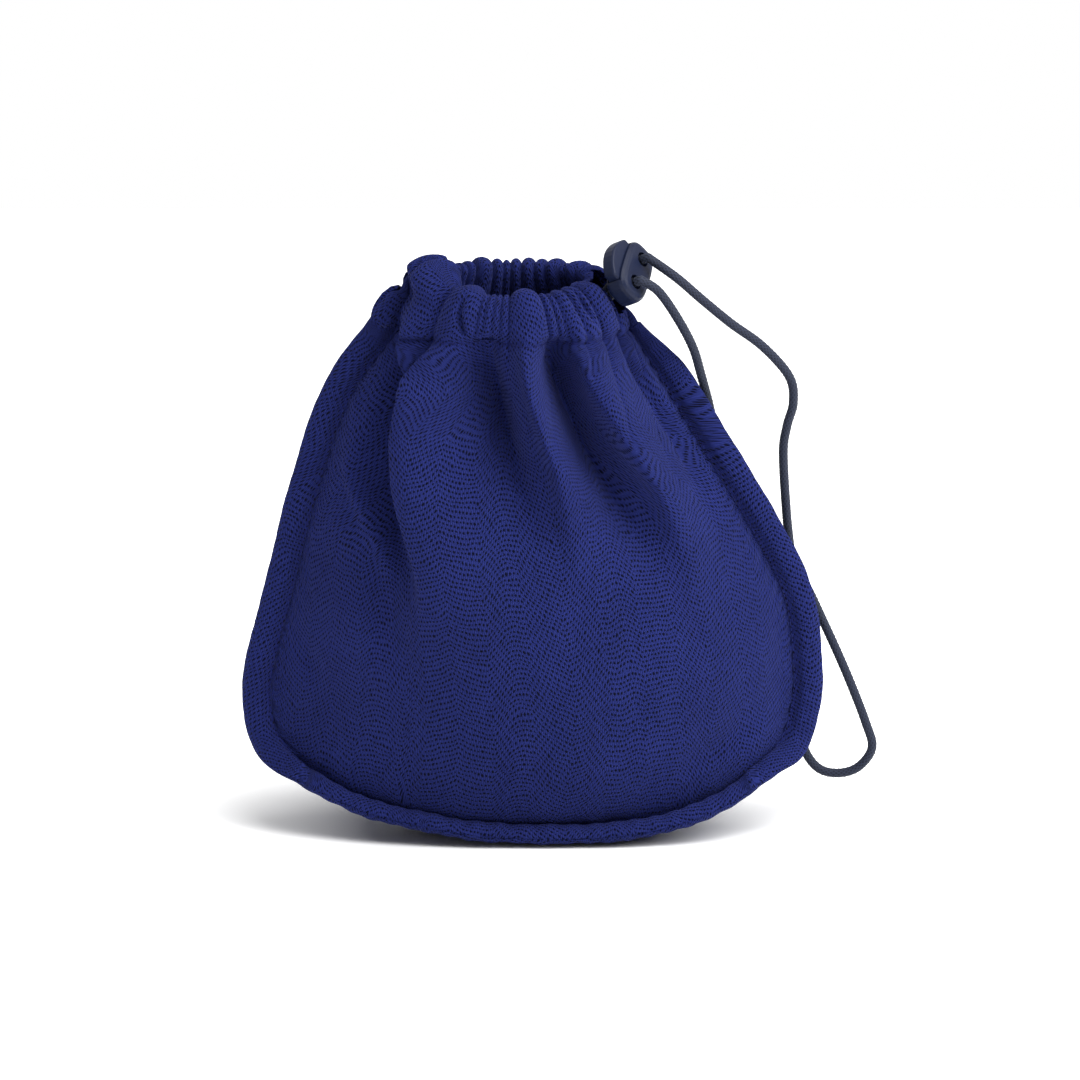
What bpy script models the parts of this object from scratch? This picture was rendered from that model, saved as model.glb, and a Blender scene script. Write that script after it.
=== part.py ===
"""Kinchaku drawstring pouch standing open on its base, with its drawcord and a two-hole cord lock.

Metres, +Z up, front of the pouch facing -Y. The origin is at the middle of the base, on the floor.
"""

from math import copysign, cos, exp, pi, sin

import bmesh
import bpy
import numpy as np
from mathutils import Matrix, Vector

# Cloth and seams
CLOTH = 0.0010
PANEL_GAP = 0.0005
CASING_END_GAP = 0.0014
FLANGE_WIDTH = 0.0090
FLANGE_PUFF = 0.0024
FLANGE_DROOP = 0.16
FLANGE_TURN = (0.35, 0.95)
TURNED_EDGE = 0.0062
FOLD_RADIUS = 0.0008

# Pouch body
RIM_HEIGHT = 0.1725
SEAM_WIDTH = 0.1600
BELLY_DEPTH = 0.0330
BASE_REACH = 0.0200
BASE_CENTRE = (0.0011, -0.0004)
TOP_SPREAD = 0.55
LOWER_SPREAD = 0.20

# Mouth and casing
CASING_HEIGHT = 0.0170
CASING_BULGE = 0.0018
CASING_DEPTH = 0.0068
HEM_TAPER = 0.0012
HEM_GAP = 0.0005
MOUTH_CENTRE = -0.0068
MOUTH_WIDTH = 0.0535
MOUTH_DEPTH = 0.0470
GATHER_CENTRE = -0.0066
GATHER_WIDTH = 0.0700
GATHER_DEPTH = 0.0500
PUFF_HEIGHT = 0.0030
PUFF_SHARE = 0.14
PUFF_SIZE_POWER = 0.65
PUFF_ROUNDNESS = 0.60
CREASE_DEPTH = 0.35
PUFF_FADE = 0.07
PUFF_END_SHARE = 0.10
PUFF_END_SLOPE = 12.0
CREST_WAVE = 0.50
CREST_FOOT = 0.80
GATHER_END = 0.12
LEFT_END_SHARE = 0.15
RIGHT_END_SHARE = 0.30
FLANGE_END_POINTS = 4
FOLD_SWELL = 0.72
FOLD_ROUNDNESS = 0.80
FOLD_END_SLOPE = 10.0
EAR_RISE = 0.0062
EAR_PLACE = 0.055
EAR_SPREAD = 0.115
EAR_LEAN = 0.35
EAR_FOOT = (0.30, 0.80)

# Cord
CORD_DIAMETER = 0.0028
CORD_STEP = 0.0036
LOOP_STEP = 0.0068
CORD_END_GAP = 0.0003
CORD_STRAIGHT = 0.0085
CORD_LEAD_OUT = 0.0020
CORD_HEIGHT_SHARE = 0.52
CORD_TURN = 0.88
CORD_APPROACH = 0.93

# Cord lock
LOCK_LENGTH = 0.0200
LOCK_HEIGHT = 0.0125
LOCK_THICKNESS = 0.0075
LOCK_ROUNDING = 0.0020
LOCK_SQUARENESS = 3.2
LOCK_SIDES = 32
HOLE_DIAMETER = 0.0046
HOLE_PITCH = 0.0094
PLUNGER_WIDTH = 0.0146
PLUNGER_THICKNESS = 0.0042
PLUNGER_PROUD = 0.0044
PLUNGER_CROWN = 0.0030
PLUNGER_TRAVEL = 0.0022
PLUNGER_EDGE = 0.0006
RUNNING_GAP = 0.0003
POCKET_FLOOR = 0.0011
WINDOW_WIDTH = 0.0036
WINDOW_ROUNDING = 0.0011
BAR_UNDER_WINDOW = 0.0010
SPRING_DIAMETER = 0.0028
SPRING_WIRE = 0.0004
SPRING_TURNS = 6
SPRING_STEPS = 10
SPRING_BORE = 0.0034
SPRING_BORE_DEPTH = 0.0044
BORE_SIDES = 12
HOLE_SIDES = 20
CROWN_STEPS = 8
SHARP_EDGE_ANGLE = 0.7

# The lock's frame: the way the cords leave it, its long axis, and its centre from the mouth's right end
CORD_EXIT_AXIS = (0.760, -0.527, 0.377)
LOCK_LONG_AXIS = (0.230, 0.768, 0.604)
LOCK_FROM_MOUTH = (0.0084, -0.0064, 0.0011)

# The seam line from the left end of the mouth, down, along the bottom and up to the right end:
# share of half the seam width, share of the base reach that it leans forward, share of the rim height
SEAM_ROUTE = (
    (-0.525, 0.00, 0.901),
    (-0.712, 0.00, 0.776),
    (-0.842, 0.00, 0.595),
    (-0.925, 0.00, 0.440),
    (-1.003, 0.00, 0.300),
    (-1.016, 0.06, 0.228),
    (-0.980, 0.18, 0.168),
    (-0.865, 0.45, 0.113),
    (-0.660, 0.72, 0.068),
    (-0.405, 0.92, 0.044),
    (-0.190, 1.00, 0.030),
    (0.160, 1.00, 0.026),
    (0.436, 0.92, 0.037),
    (0.665, 0.72, 0.066),
    (0.804, 0.45, 0.106),
    (0.930, 0.18, 0.160),
    (0.975, 0.06, 0.215),
    (0.988, 0.00, 0.290),
    (0.950, 0.00, 0.420),
    (0.819, 0.00, 0.545),
    (0.594, 0.00, 0.720),
    (0.362, 0.00, 0.901),
)
LEFT_CORNER = 7
RIGHT_CORNER = 14

# Middle profiles from the casing stitch to the bottom seam: share of the belly depth, share of the rim height
FRONT_PROFILE = (
    (-0.76, 0.901),
    (-0.86, 0.700),
    (-0.97, 0.460),
    (-1.00, 0.270),
    (-0.94, 0.130),
    (-0.80, 0.062),
    (-0.61, 0.026),
)
BACK_PROFILE = (
    (0.76, 0.901),
    (0.86, 0.700),
    (0.97, 0.460),
    (1.00, 0.270),
    (0.95, 0.110),
    (0.78, 0.020),
    (0.40, -0.030),
    (-0.10, -0.040),
    (-0.50, -0.010),
    (-0.61, 0.026),
)

# Creases between the puffs of the gathers, as shares across the mouth
CREASES = (0.0, 0.060, 0.155, 0.255, 0.390, 0.437, 0.487, 0.600, 0.652, 0.775, 0.875, 1.0)

# Folds: height, widths left and right as shares across, and the crest's route from where it starts to where it
# ends, as shares down the panel and across it
FRONT_FOLDS = (
    (0.0085, 0.034, 0.130, ((-0.05, 0.300), (0.07, 0.220), (0.24, 0.240), (0.56, 0.310))),
    (0.0044, 0.030, 0.055, ((-0.12, 0.140), (0.00, 0.140), (0.09, 0.190))),
    (-0.0070, 0.060, 0.048, ((0.00, 0.050), (0.10, 0.115), (0.30, 0.150), (0.60, 0.210))),
    (0.0028, 0.035, 0.042, ((0.18, 0.040), (0.34, 0.147), (0.60, 0.330))),
    (-0.0065, 0.046, 0.035, ((-0.04, 0.430), (0.08, 0.460), (0.32, 0.530))),
    (0.0050, 0.030, 0.048, ((-0.06, 0.530), (0.08, 0.548), (0.22, 0.600), (0.42, 0.610))),
    (-0.0060, 0.045, 0.036, ((-0.03, 0.608), (0.10, 0.665), (0.38, 0.770))),
    (0.0078, 0.034, 0.085, ((-0.07, 0.690), (0.06, 0.696), (0.22, 0.790), (0.52, 0.860))),
    (-0.0032, 0.030, 0.030, ((-0.02, 0.850), (0.10, 0.920), (0.40, 0.955))),
    (-0.0020, 0.100, 0.090, ((0.68, 0.840), (0.82, 0.850))),
)
BACK_FOLDS = (
    (0.0045, 0.040, 0.080, ((-0.10, 0.160), (0.10, 0.180), (0.50, 0.220))),
    (-0.0045, 0.050, 0.050, ((-0.04, 0.300), (0.10, 0.310), (0.40, 0.330))),
    (0.0042, 0.055, 0.055, ((-0.08, 0.450), (0.12, 0.440), (0.55, 0.430))),
    (-0.0045, 0.050, 0.050, ((-0.04, 0.600), (0.10, 0.610), (0.42, 0.620))),
    (0.0048, 0.070, 0.040, ((-0.10, 0.780), (0.12, 0.770), (0.55, 0.740))),
)

# The free loop's route from the lower hole of the lock round to the upper one
LOOP_ROUTE = (
    (0.0370, -0.0120, 0.1692),
    (0.0428, -0.0085, 0.1604),
    (0.0476, -0.0030, 0.1505),
    (0.0501, 0.0022, 0.1417),
    (0.0525, 0.0060, 0.1325),
    (0.0556, 0.0085, 0.1195),
    (0.0595, 0.0090, 0.1100),
    (0.0647, 0.0090, 0.1006),
    (0.0703, 0.0090, 0.0912),
    (0.0764, 0.0092, 0.0827),
    (0.0823, 0.0095, 0.0752),
    (0.0890, 0.0100, 0.0613),
    (0.0960, 0.0106, 0.0455),
    (0.1020, 0.0112, 0.0300),
    (0.1040, 0.0116, 0.0218),
    (0.0996, 0.0120, 0.0155),
    (0.0930, 0.0124, 0.0136),
    (0.0870, 0.0128, 0.0155),
    (0.0828, 0.0130, 0.0222),
    (0.0812, 0.0130, 0.0340),
    (0.0806, 0.0130, 0.0500),
    (0.0798, 0.0130, 0.0680),
    (0.0784, 0.0128, 0.0830),
    (0.0770, 0.0120, 0.0960),
    (0.0758, 0.0105, 0.1150),
    (0.0768, 0.0085, 0.1240),
    (0.0786, 0.0070, 0.1316),
    (0.0772, 0.0050, 0.1400),
    (0.0690, 0.0010, 0.1500),
    (0.0590, -0.0030, 0.1580),
    (0.0500, -0.0065, 0.1660),
    (0.0425, -0.0085, 0.1728),
)

# The casing's section from the hem's free edge inside, over the rim, to just above the stitch line: way out from the
# smooth wall, share of the casing height, and the shares of the gathers and of the folds that it follows
CASING_SECTION = (
    (-(CLOTH + HEM_GAP), 0.04, 1.00, 1.0),
    (-(CASING_DEPTH - HEM_TAPER), 0.34, -0.30, 0.2),
    (-CASING_DEPTH, 0.72, -0.55, 0.0),
    (-CASING_DEPTH * 0.80, 0.93, -0.30, 0.0),
    (-(CASING_DEPTH - CASING_BULGE) / 2, 1.00, 0.00, 0.0),
    (0.0, 0.95, 0.60, 0.0),
    (CASING_BULGE * 0.80, 0.80, 1.00, 0.0),
    (CASING_BULGE, 0.45, 1.00, 0.3),
)

# One half of the flange from the seam, out over its puffed face, round the fold and back as the turned allowance:
# way out from the seam, and way off the plane in which the two panels meet
HALF_SEAM = CLOTH / 2 + PANEL_GAP / 2
FLANGE_SECTION = (
    (FLANGE_WIDTH * 0.30, HALF_SEAM + (FLANGE_PUFF - CLOTH) * 0.80),
    (FLANGE_WIDTH * 0.75, HALF_SEAM + FLANGE_PUFF - CLOTH),
    (FLANGE_WIDTH - CLOTH / 2, HALF_SEAM + FOLD_RADIUS),
    (FLANGE_WIDTH - CLOTH, HALF_SEAM),
    (FLANGE_WIDTH - TURNED_EDGE, HALF_SEAM),
)

# Grid of each cloth panel
PUFF_COLUMNS = 4
COLUMNS = PUFF_COLUMNS * (len(CREASES) - 1)
BODY_ROWS = 14
ROW_CROWDING = 1.25
SPLINE_STEPS = 24
RIM_ROW = 4
STITCH_ROW = len(CASING_SECTION)
EXIT_COLUMNS = 4
EXIT_ROW = STITCH_ROW - 1
NORMAL_STEP = 0.004
RING_STEPS = 14


def sampled(points):
    """Closely spaced points of a smooth curve through a route."""
    route = np.array(points, dtype=float)
    ahead = np.vstack([2 * route[0] - route[1], route, 2 * route[-1] - route[-2]])
    dense = [route[0]]
    for index in range(len(route) - 1):
        before, start, end, after = ahead[index : index + 4]
        for step in range(1, SPLINE_STEPS + 1):
            t = step / SPLINE_STEPS
            dense.append(
                0.5
                * (
                    2 * start
                    + (end - before) * t
                    + (2 * before - 5 * start + 4 * end - after) * t**2
                    + (3 * start - before - 3 * end + after) * t**3
                )
            )
    return np.array(dense)


def along_line(dense):
    """Returns a function of a share 0 to 1 of the length of a line of points."""
    lengths = np.concatenate([[0.0], np.cumsum(np.linalg.norm(np.diff(dense, axis=0), axis=1))])

    def at(share):
        place = np.clip(share, 0.0, 1.0) * lengths[-1]
        return np.array([np.interp(place, lengths, dense[:, axis]) for axis in range(dense.shape[1])])

    at.length = lengths[-1]
    return at


def smooth_curve(points):
    return along_line(sampled(points))


def unit(vector):
    return vector / max(np.linalg.norm(vector), 1e-9)


def smoothstep(low, high, value):
    t = min(max((value - low) / (high - low), 0.0), 1.0)
    return t * t * (3 - 2 * t)


def seam_point(row):
    across, lean, up = row
    return (across * SEAM_WIDTH / 2, -lean * BASE_REACH, up * RIM_HEIGHT)


SEAM_LINE = sampled([seam_point(row) for row in SEAM_ROUTE])
LEFT_SEAM = along_line(SEAM_LINE[: LEFT_CORNER * SPLINE_STEPS + 1])
BOTTOM_SEAM = along_line(SEAM_LINE[LEFT_CORNER * SPLINE_STEPS : RIGHT_CORNER * SPLINE_STEPS + 1])
RIGHT_SEAM = along_line(SEAM_LINE[RIGHT_CORNER * SPLINE_STEPS :][::-1])
STITCH_HEIGHT = RIM_HEIGHT - CASING_HEIGHT
MOUTH_END = Vector((MOUTH_CENTRE + MOUTH_WIDTH / 2, 0.0, RIM_HEIGHT))
WINDOW_LOW = -(CORD_DIAMETER / 2 + RUNNING_GAP)
WINDOW_HIGH = CORD_DIAMETER / 2 + RUNNING_GAP + PLUNGER_TRAVEL
PLUNGER_BOTTOM = WINDOW_LOW - BAR_UNDER_WINDOW
POCKET_BOTTOM = POCKET_FLOOR - LOCK_HEIGHT / 2
HOLE_PLACES = (-HOLE_PITCH / 2, HOLE_PITCH / 2)


def puff_at(column):
    """The crease left of a grid column, the width of its puff, and the share of that width."""
    puff = min(column // PUFF_COLUMNS, len(CREASES) - 2)
    return CREASES[puff], CREASES[puff + 1] - CREASES[puff], column / PUFF_COLUMNS - puff


def column_place(column):
    """Share across the panel of a grid column; each puff takes the same number of columns."""
    crease, width, part = puff_at(column)
    return crease + width * part


def row_place(row):
    """Share of the way down of a grid row; the rows crowd towards the round lower corners."""
    return 1 - (1 - row / BODY_ROWS) ** ROW_CROWDING


def gather(column):
    """Height of the gathers at a grid column, round puffs between sharp creases, fading at both side seams."""
    across = column_place(column)
    width, part = puff_at(column)[1:]
    size = min(1.0, (width / PUFF_SHARE) ** PUFF_SIZE_POWER)
    ends = min(1.0, PUFF_END_SHARE + PUFF_END_SLOPE * min(across, 1 - across))
    return PUFF_HEIGHT * (size * (4 * part * (1 - part)) ** PUFF_ROUNDNESS - CREASE_DEPTH) * ends


def ring_point(across, side, centre, width, depth, height):
    """A point of the oval ring at a share across, on the front (side -1) or back (side 1)."""
    angle = pi * across
    return np.array([centre - width / 2 * cos(angle), side * depth / 2 * sin(angle), height])


def ring_outward(across, side):
    """Level outward direction of the mouth's oval at a share across."""
    angle = pi * across
    return unit(np.array([-MOUTH_DEPTH * cos(angle), side * MOUTH_WIDTH * sin(angle), 0.0]))


def gather_ring(across, side):
    return ring_point(across, side, GATHER_CENTRE, GATHER_WIDTH, GATHER_DEPTH, STITCH_HEIGHT)


def casing_wall(across, side, height):
    """The casing's smooth outer wall between the stitch line and the rim."""
    low = gather_ring(across, side)
    high = ring_point(across, side, MOUTH_CENTRE, MOUTH_WIDTH, MOUTH_DEPTH, RIM_HEIGHT)
    share = (height - STITCH_HEIGHT) / CASING_HEIGHT
    return low + (high - low) * share


def body_sheet(across, down, side, profile):
    """The smooth cloth between the casing stitch, the side seams and the bottom seam."""
    left, right = LEFT_SEAM(down), RIGHT_SEAM(down)
    top_left, top_right = gather_ring(0.0, side), gather_ring(1.0, side)
    low_left, low_right = LEFT_SEAM(1.0), RIGHT_SEAM(1.0)

    def coons(u):
        edges = (1 - u) * left + u * right
        ends = (1 - down) * gather_ring(u, side) + down * BOTTOM_SEAM(u)
        corners = (1 - down) * ((1 - u) * top_left + u * top_right) + down * ((1 - u) * low_left + u * low_right)
        return edges + ends - corners

    out, up = profile(down)
    middle = coons(0.5)
    swell = np.array([0.0, out * BELLY_DEPTH - middle[1], up * RIM_HEIGHT - middle[2]])
    return coons(across) + swell * sin(pi * across) ** (TOP_SPREAD + LOWER_SPREAD * down)


def fold_height(across, down, folds):
    """Height of all folds at a place; each swells from its start and dies out at its end."""
    total = 0.0
    for height, left, right, route in folds:
        line = sampled(route)
        start, end = route[0][0], route[-1][0]
        if not start <= down <= end:
            continue
        centre = np.interp(down, line[:, 0], line[:, 1])
        share = (down - start) / (end - start)
        along = sin(pi * share**FOLD_SWELL) ** FOLD_ROUNDNESS
        spread = left if across < centre else right
        total += height * along * exp(-(((across - centre) / spread) ** 2))
    return total


def seam_fade(across):
    """Folds die out towards the side seams."""
    return min(1.0, FOLD_END_SLOPE * min(across, 1 - across))


def press_to_floor(point):
    """Cloth that would sink below the floor lies flat on it."""
    if point[2] < CLOTH / 2:
        point[2] = CLOTH / 2
    return point


def sheet_point(across, down, side, profile, folds, gathers):
    """A point of the body's cloth with its gathers and folds standing out from the smooth sheet."""
    point = body_sheet(across, down, side, profile)
    east = body_sheet(min(across + NORMAL_STEP, 1.0), down, side, profile)
    west = body_sheet(max(across - NORMAL_STEP, 0.0), down, side, profile)
    south = body_sheet(across, min(down + NORMAL_STEP, 1.0), side, profile)
    north = body_sheet(across, max(down - NORMAL_STEP, 0.0), side, profile)
    normal = unit(np.cross(east - west, south - north)) * side
    turn = smoothstep(0.0, GATHER_END, down)
    outward = unit(normal * turn + ring_outward(across, side) * (1 - turn))
    fade = exp(-down / PUFF_FADE)
    height = gathers * fade + fold_height(across, down, folds) * seam_fade(across)
    return press_to_floor(point + outward * height)


def casing_rows(across, side, gathers, fold):
    """The turned hem from its free edge, up inside, over the rim and down to the stitch line."""
    outward = ring_outward(across, side)
    ear_here = EAR_RISE * max(0.0, 1 - ((across - EAR_PLACE) / EAR_SPREAD) ** 2)
    rows = []
    for offset, share, swing, follow in CASING_SECTION:
        wall = casing_wall(across, side, STITCH_HEIGHT + share * CASING_HEIGHT)
        ear = ear_here * smoothstep(*EAR_FOOT, share)
        point = wall + outward * (offset + swing * gathers + follow * fold + max(swing, 0.0) * EAR_LEAN * ear)
        point[2] += ear + CREST_WAVE * gathers * smoothstep(CREST_FOOT, 1.0, share)
        rows.append(point)
    return rows


def seam_frame(tangent):
    """Outward and frontward directions of the flange at a point of the seam line."""
    flat = unit(np.array([tangent[0], 0.0, tangent[2]]))
    outward = np.array([flat[2], 0.0, -flat[0]])
    down = smoothstep(*FLANGE_TURN, -outward[2])
    outward = unit(outward * (1 - down) + np.array([0.0, -1.0, -FLANGE_DROOP]) * down)
    front = unit(np.cross(outward, tangent))
    return outward, front


def panel_grid(side, profile, folds):
    """The columns of the panel's points, each from the hem's free edge down to the bottom seam."""
    grid = []
    for column in range(COLUMNS + 1):
        across = column_place(column)
        gathers = gather(column)
        line = casing_rows(across, side, gathers, fold_height(across, 0.0, folds) * seam_fade(across))
        for row in range(BODY_ROWS + 1):
            line.append(sheet_point(across, row_place(row), side, profile, folds, gathers))
        grid.append(line)
    for column in (0, COLUMNS):
        for row in range(RIM_ROW + 1):
            grid[column][row][1] = side * CASING_END_GAP / 2
    return grid


def seam_place(grid, column, row):
    """The point of the seam line at a border point of the grid."""
    if row < STITCH_ROW:
        return grid[column][row] * np.array([1.0, 0.0, 1.0])
    if row == len(grid[0]) - 1:
        return BOTTOM_SEAM(column_place(column))
    return (LEFT_SEAM if column == 0 else RIGHT_SEAM)(row_place(row - STITCH_ROW))


def add_flange(mesh, side, last, seam, frames):
    """One half of the flange, strip by strip from the sheet's border; it narrows towards its two ends."""
    count = len(seam)
    for reach, lift in FLANGE_SECTION:
        strip = []
        for index, (outward, front) in enumerate(frames):
            narrow = LEFT_END_SHARE if index < count / 2 else RIGHT_END_SHARE
            ends = smoothstep(0, FLANGE_END_POINTS, min(index, count - 1 - index) + 0.6)
            width = reach * (narrow + (1 - narrow) * ends)
            strip.append(mesh.verts.new(seam[index] + outward * width - side * front * lift))
        for index in range(count - 1):
            halves = (
                [last[index], strip[index], strip[index + 1]],
                [last[index], strip[index + 1], last[index + 1]],
            )
            for half in halves:
                mesh.faces.new(half if side < 0 else half[::-1])
        last = strip


def panel_mesh(name, side, profile_points, folds):
    """One cloth panel as a single folded sheet: hem, casing, body and its half of the flange.

    The casing stays open at its right end, where the cord comes out.
    """
    grid = panel_grid(side, smooth_curve(profile_points), folds)
    rows = len(grid[0])
    border = [(0, row) for row in range(RIM_ROW + 1, rows)]
    border += [(column, rows - 1) for column in range(1, COLUMNS)]
    border += [(COLUMNS, row) for row in range(rows - 1, EXIT_ROW - 1, -1)]
    seam = [seam_place(grid, column, row) for column, row in border]
    frames = []
    for index in range(len(seam)):
        frames.append(seam_frame(unit(seam[min(index + 1, len(seam) - 1)] - seam[max(index - 1, 0)])))
    for (column, row), place, (outward, front) in zip(border, seam, frames):
        grid[column][row] = place - side * front * HALF_SEAM

    mesh = bmesh.new()
    vertices = [[mesh.verts.new(point) for point in line] for line in grid]
    for column in range(COLUMNS):
        for row in range(rows - 1):
            if column >= COLUMNS - EXIT_COLUMNS and row < EXIT_ROW:
                continue
            left, right = vertices[column], vertices[column + 1]
            corners = [left[row], left[row + 1], right[row + 1], right[row]]
            mesh.faces.new(corners if side < 0 else corners[::-1])
    add_flange(mesh, side, [vertices[column][row] for column, row in border], seam, frames)
    spare = [vertex for vertex in mesh.verts if not vertex.link_faces]
    bmesh.ops.delete(mesh, geom=spare, context="VERTS")

    mesh.normal_update()
    data = bpy.data.meshes.new(name)
    mesh.to_mesh(data)
    mesh.free()
    data.shade_smooth()
    panel = bpy.data.objects.new(name, data)
    bpy.context.scene.collection.objects.link(panel)
    thickness = panel.modifiers.new("cloth", "SOLIDIFY")
    thickness.thickness = CLOTH
    thickness.offset = 0.0
    return panel


def material(name, colour, roughness, metallic=0.0):
    finish = bpy.data.materials.new(name)
    finish.use_nodes = True
    shader = finish.node_tree.nodes["Principled BSDF"]
    shader.inputs["Base Color"].default_value = (*colour, 1.0)
    shader.inputs["Roughness"].default_value = roughness
    shader.inputs["Metallic"].default_value = metallic
    return finish


def cord_object(name, points, finish):
    """A plain round cord with filled ends along the points."""
    curve = bpy.data.curves.new(name, "CURVE")
    curve.dimensions = "3D"
    curve.bevel_depth = CORD_DIAMETER / 2
    curve.bevel_resolution = 2
    curve.use_fill_caps = True
    spline = curve.splines.new("POLY")
    spline.points.add(len(points) - 1)
    for place, point in zip(spline.points, points):
        place.co = (*point, 1.0)
    cord = bpy.data.objects.new(name, curve)
    bpy.context.scene.collection.objects.link(cord)
    cord.data.materials.append(finish)
    return cord


def evenly(points, step):
    """Points a step apart on a smooth curve through the route; its two end stretches stay straight."""
    curve = smooth_curve(points[1:-1])
    count = round(curve.length / step)
    return [points[0]] + [curve(index / count) for index in range(count + 1)] + [points[-1]]


def lock_matrix():
    """The lock's place: local X along its length, local Y the way the button stands out, local Z the cords' way."""
    exit_axis = Vector(CORD_EXIT_AXIS).normalized()
    long_axis = Vector(LOCK_LONG_AXIS)
    long_axis = (long_axis - long_axis.dot(exit_axis) * exit_axis).normalized()
    button_axis = exit_axis.cross(long_axis)
    turn = Matrix((long_axis, button_axis, exit_axis)).transposed().to_4x4()
    return Matrix.Translation(MOUTH_END + Vector(LOCK_FROM_MOUTH)) @ turn


def extruded(name, outline, thickness):
    """A flat outline, extruded to both sides of its plane."""
    mesh = bmesh.new()
    face = mesh.faces.new([mesh.verts.new((x, y, -thickness / 2)) for x, y in outline])
    grown = bmesh.ops.extrude_face_region(mesh, geom=[face])
    lifted = [item for item in grown["geom"] if isinstance(item, bmesh.types.BMVert)]
    bmesh.ops.translate(mesh, verts=lifted, vec=(0.0, 0.0, thickness))
    bmesh.ops.recalc_face_normals(mesh, faces=mesh.faces)
    data = bpy.data.meshes.new(name)
    mesh.to_mesh(data)
    mesh.free()
    item = bpy.data.objects.new(name, data)
    bpy.context.scene.collection.objects.link(item)
    return item


def round_outline(diameter, sides, x=0.0):
    angles = [2 * pi * side / sides for side in range(sides)]
    return [(x + diameter / 2 * cos(angle), diameter / 2 * sin(angle)) for angle in angles]


def rectangle(left, right, low, high):
    return [(left, low), (right, low), (right, high), (left, high)]


def cut(target, cutter, name):
    cutter.hide_render = True
    cutter.display_type = "WIRE"
    cutter.parent = target.parent
    boolean = target.modifiers.new(name, "BOOLEAN")
    boolean.operation = "DIFFERENCE"
    boolean.solver = "EXACT"
    boolean.object = cutter


def round_edges(target, width, segments):
    bevel = target.modifiers.new("edges", "BEVEL")
    bevel.width = width
    bevel.segments = segments
    bevel.limit_method = "ANGLE"
    bevel.angle_limit = SHARP_EDGE_ANGLE


def lock_housing(frame, finish):
    """Moulded body with an open pocket for the plunger and two through holes for the cord."""
    power = 2 / LOCK_SQUARENESS
    outline = [
        (
            copysign(LOCK_LENGTH / 2 * abs(x) ** power, x),
            copysign(LOCK_HEIGHT / 2 * abs(y) ** power, y),
        )
        for x, y in round_outline(2.0, LOCK_SIDES)
    ]
    housing = extruded("lock_housing", outline, LOCK_THICKNESS)
    housing.parent = frame
    housing.data.materials.append(finish)
    round_edges(housing, LOCK_ROUNDING, 3)
    pocket_half = PLUNGER_WIDTH / 2 + RUNNING_GAP
    pocket = extruded(
        "pocket_cutter",
        rectangle(-pocket_half, pocket_half, POCKET_BOTTOM, LOCK_HEIGHT),
        PLUNGER_THICKNESS + 2 * RUNNING_GAP,
    )
    cut(housing, pocket, "pocket")
    for index, place in enumerate(HOLE_PLACES):
        outline = round_outline(HOLE_DIAMETER, HOLE_SIDES, place)
        hole = extruded(f"hole_cutter_{index}", outline, 2 * LOCK_THICKNESS)
        cut(housing, hole, f"hole_{index}")
    return housing


def lock_plunger(frame, finish):
    """Button and stem in one, with a window for each cord and a bore for the spring."""
    half = PLUNGER_WIDTH / 2
    top = LOCK_HEIGHT / 2 + PLUNGER_PROUD
    outline = [(-half, PLUNGER_BOTTOM), (half, PLUNGER_BOTTOM)]
    for step in range(CROWN_STEPS + 1):
        x = half * (1 - 2 * step / CROWN_STEPS)
        outline.append((x, top - PLUNGER_CROWN * (x / half) ** 2))
    plunger = extruded("lock_plunger", outline, PLUNGER_THICKNESS)
    plunger.parent = frame
    plunger.data.materials.append(finish)
    round_edges(plunger, PLUNGER_EDGE, 2)
    for index, place in enumerate(HOLE_PLACES):
        window = extruded(
            f"window_cutter_{index}",
            rectangle(place - WINDOW_WIDTH / 2, place + WINDOW_WIDTH / 2, WINDOW_LOW, WINDOW_HIGH),
            2 * PLUNGER_THICKNESS,
        )
        round_edges(window, WINDOW_ROUNDING, 2)
        cut(plunger, window, f"window_{index}")
    bore = extruded("bore_cutter", round_outline(SPRING_BORE, BORE_SIDES), 2 * SPRING_BORE_DEPTH)
    bore.rotation_euler = (pi / 2, 0.0, 0.0)
    bore.location = (0.0, PLUNGER_BOTTOM, 0.0)
    cut(plunger, bore, "bore")
    return plunger


def lock_spring(frame, finish):
    """Coil spring between the pocket's floor and the end of the plunger's bore."""
    low = POCKET_BOTTOM + RUNNING_GAP + SPRING_WIRE / 2
    high = PLUNGER_BOTTOM + SPRING_BORE_DEPTH - RUNNING_GAP - SPRING_WIRE / 2
    radius = (SPRING_DIAMETER - SPRING_WIRE) / 2
    curve = bpy.data.curves.new("lock_spring", "CURVE")
    curve.dimensions = "3D"
    curve.bevel_depth = SPRING_WIRE / 2
    curve.bevel_resolution = 1
    curve.use_fill_caps = True
    steps = SPRING_TURNS * SPRING_STEPS
    spline = curve.splines.new("POLY")
    spline.points.add(steps)
    for step, place in enumerate(spline.points):
        angle = 2 * pi * step / SPRING_STEPS
        height = low + (high - low) * step / steps
        place.co = (radius * cos(angle), height, radius * sin(angle), 1.0)
    spring = bpy.data.objects.new("lock_spring", curve)
    bpy.context.scene.collection.objects.link(spring)
    spring.data.materials.append(finish)
    spring.parent = frame
    return spring


def through_lock(frame_matrix, side, out):
    """A point on the axis of a lock hole (side -1 or 1), so far out along the way the cords leave."""
    return np.array(frame_matrix @ Vector((side * HOLE_PITCH / 2, 0.0, out)))


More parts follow.
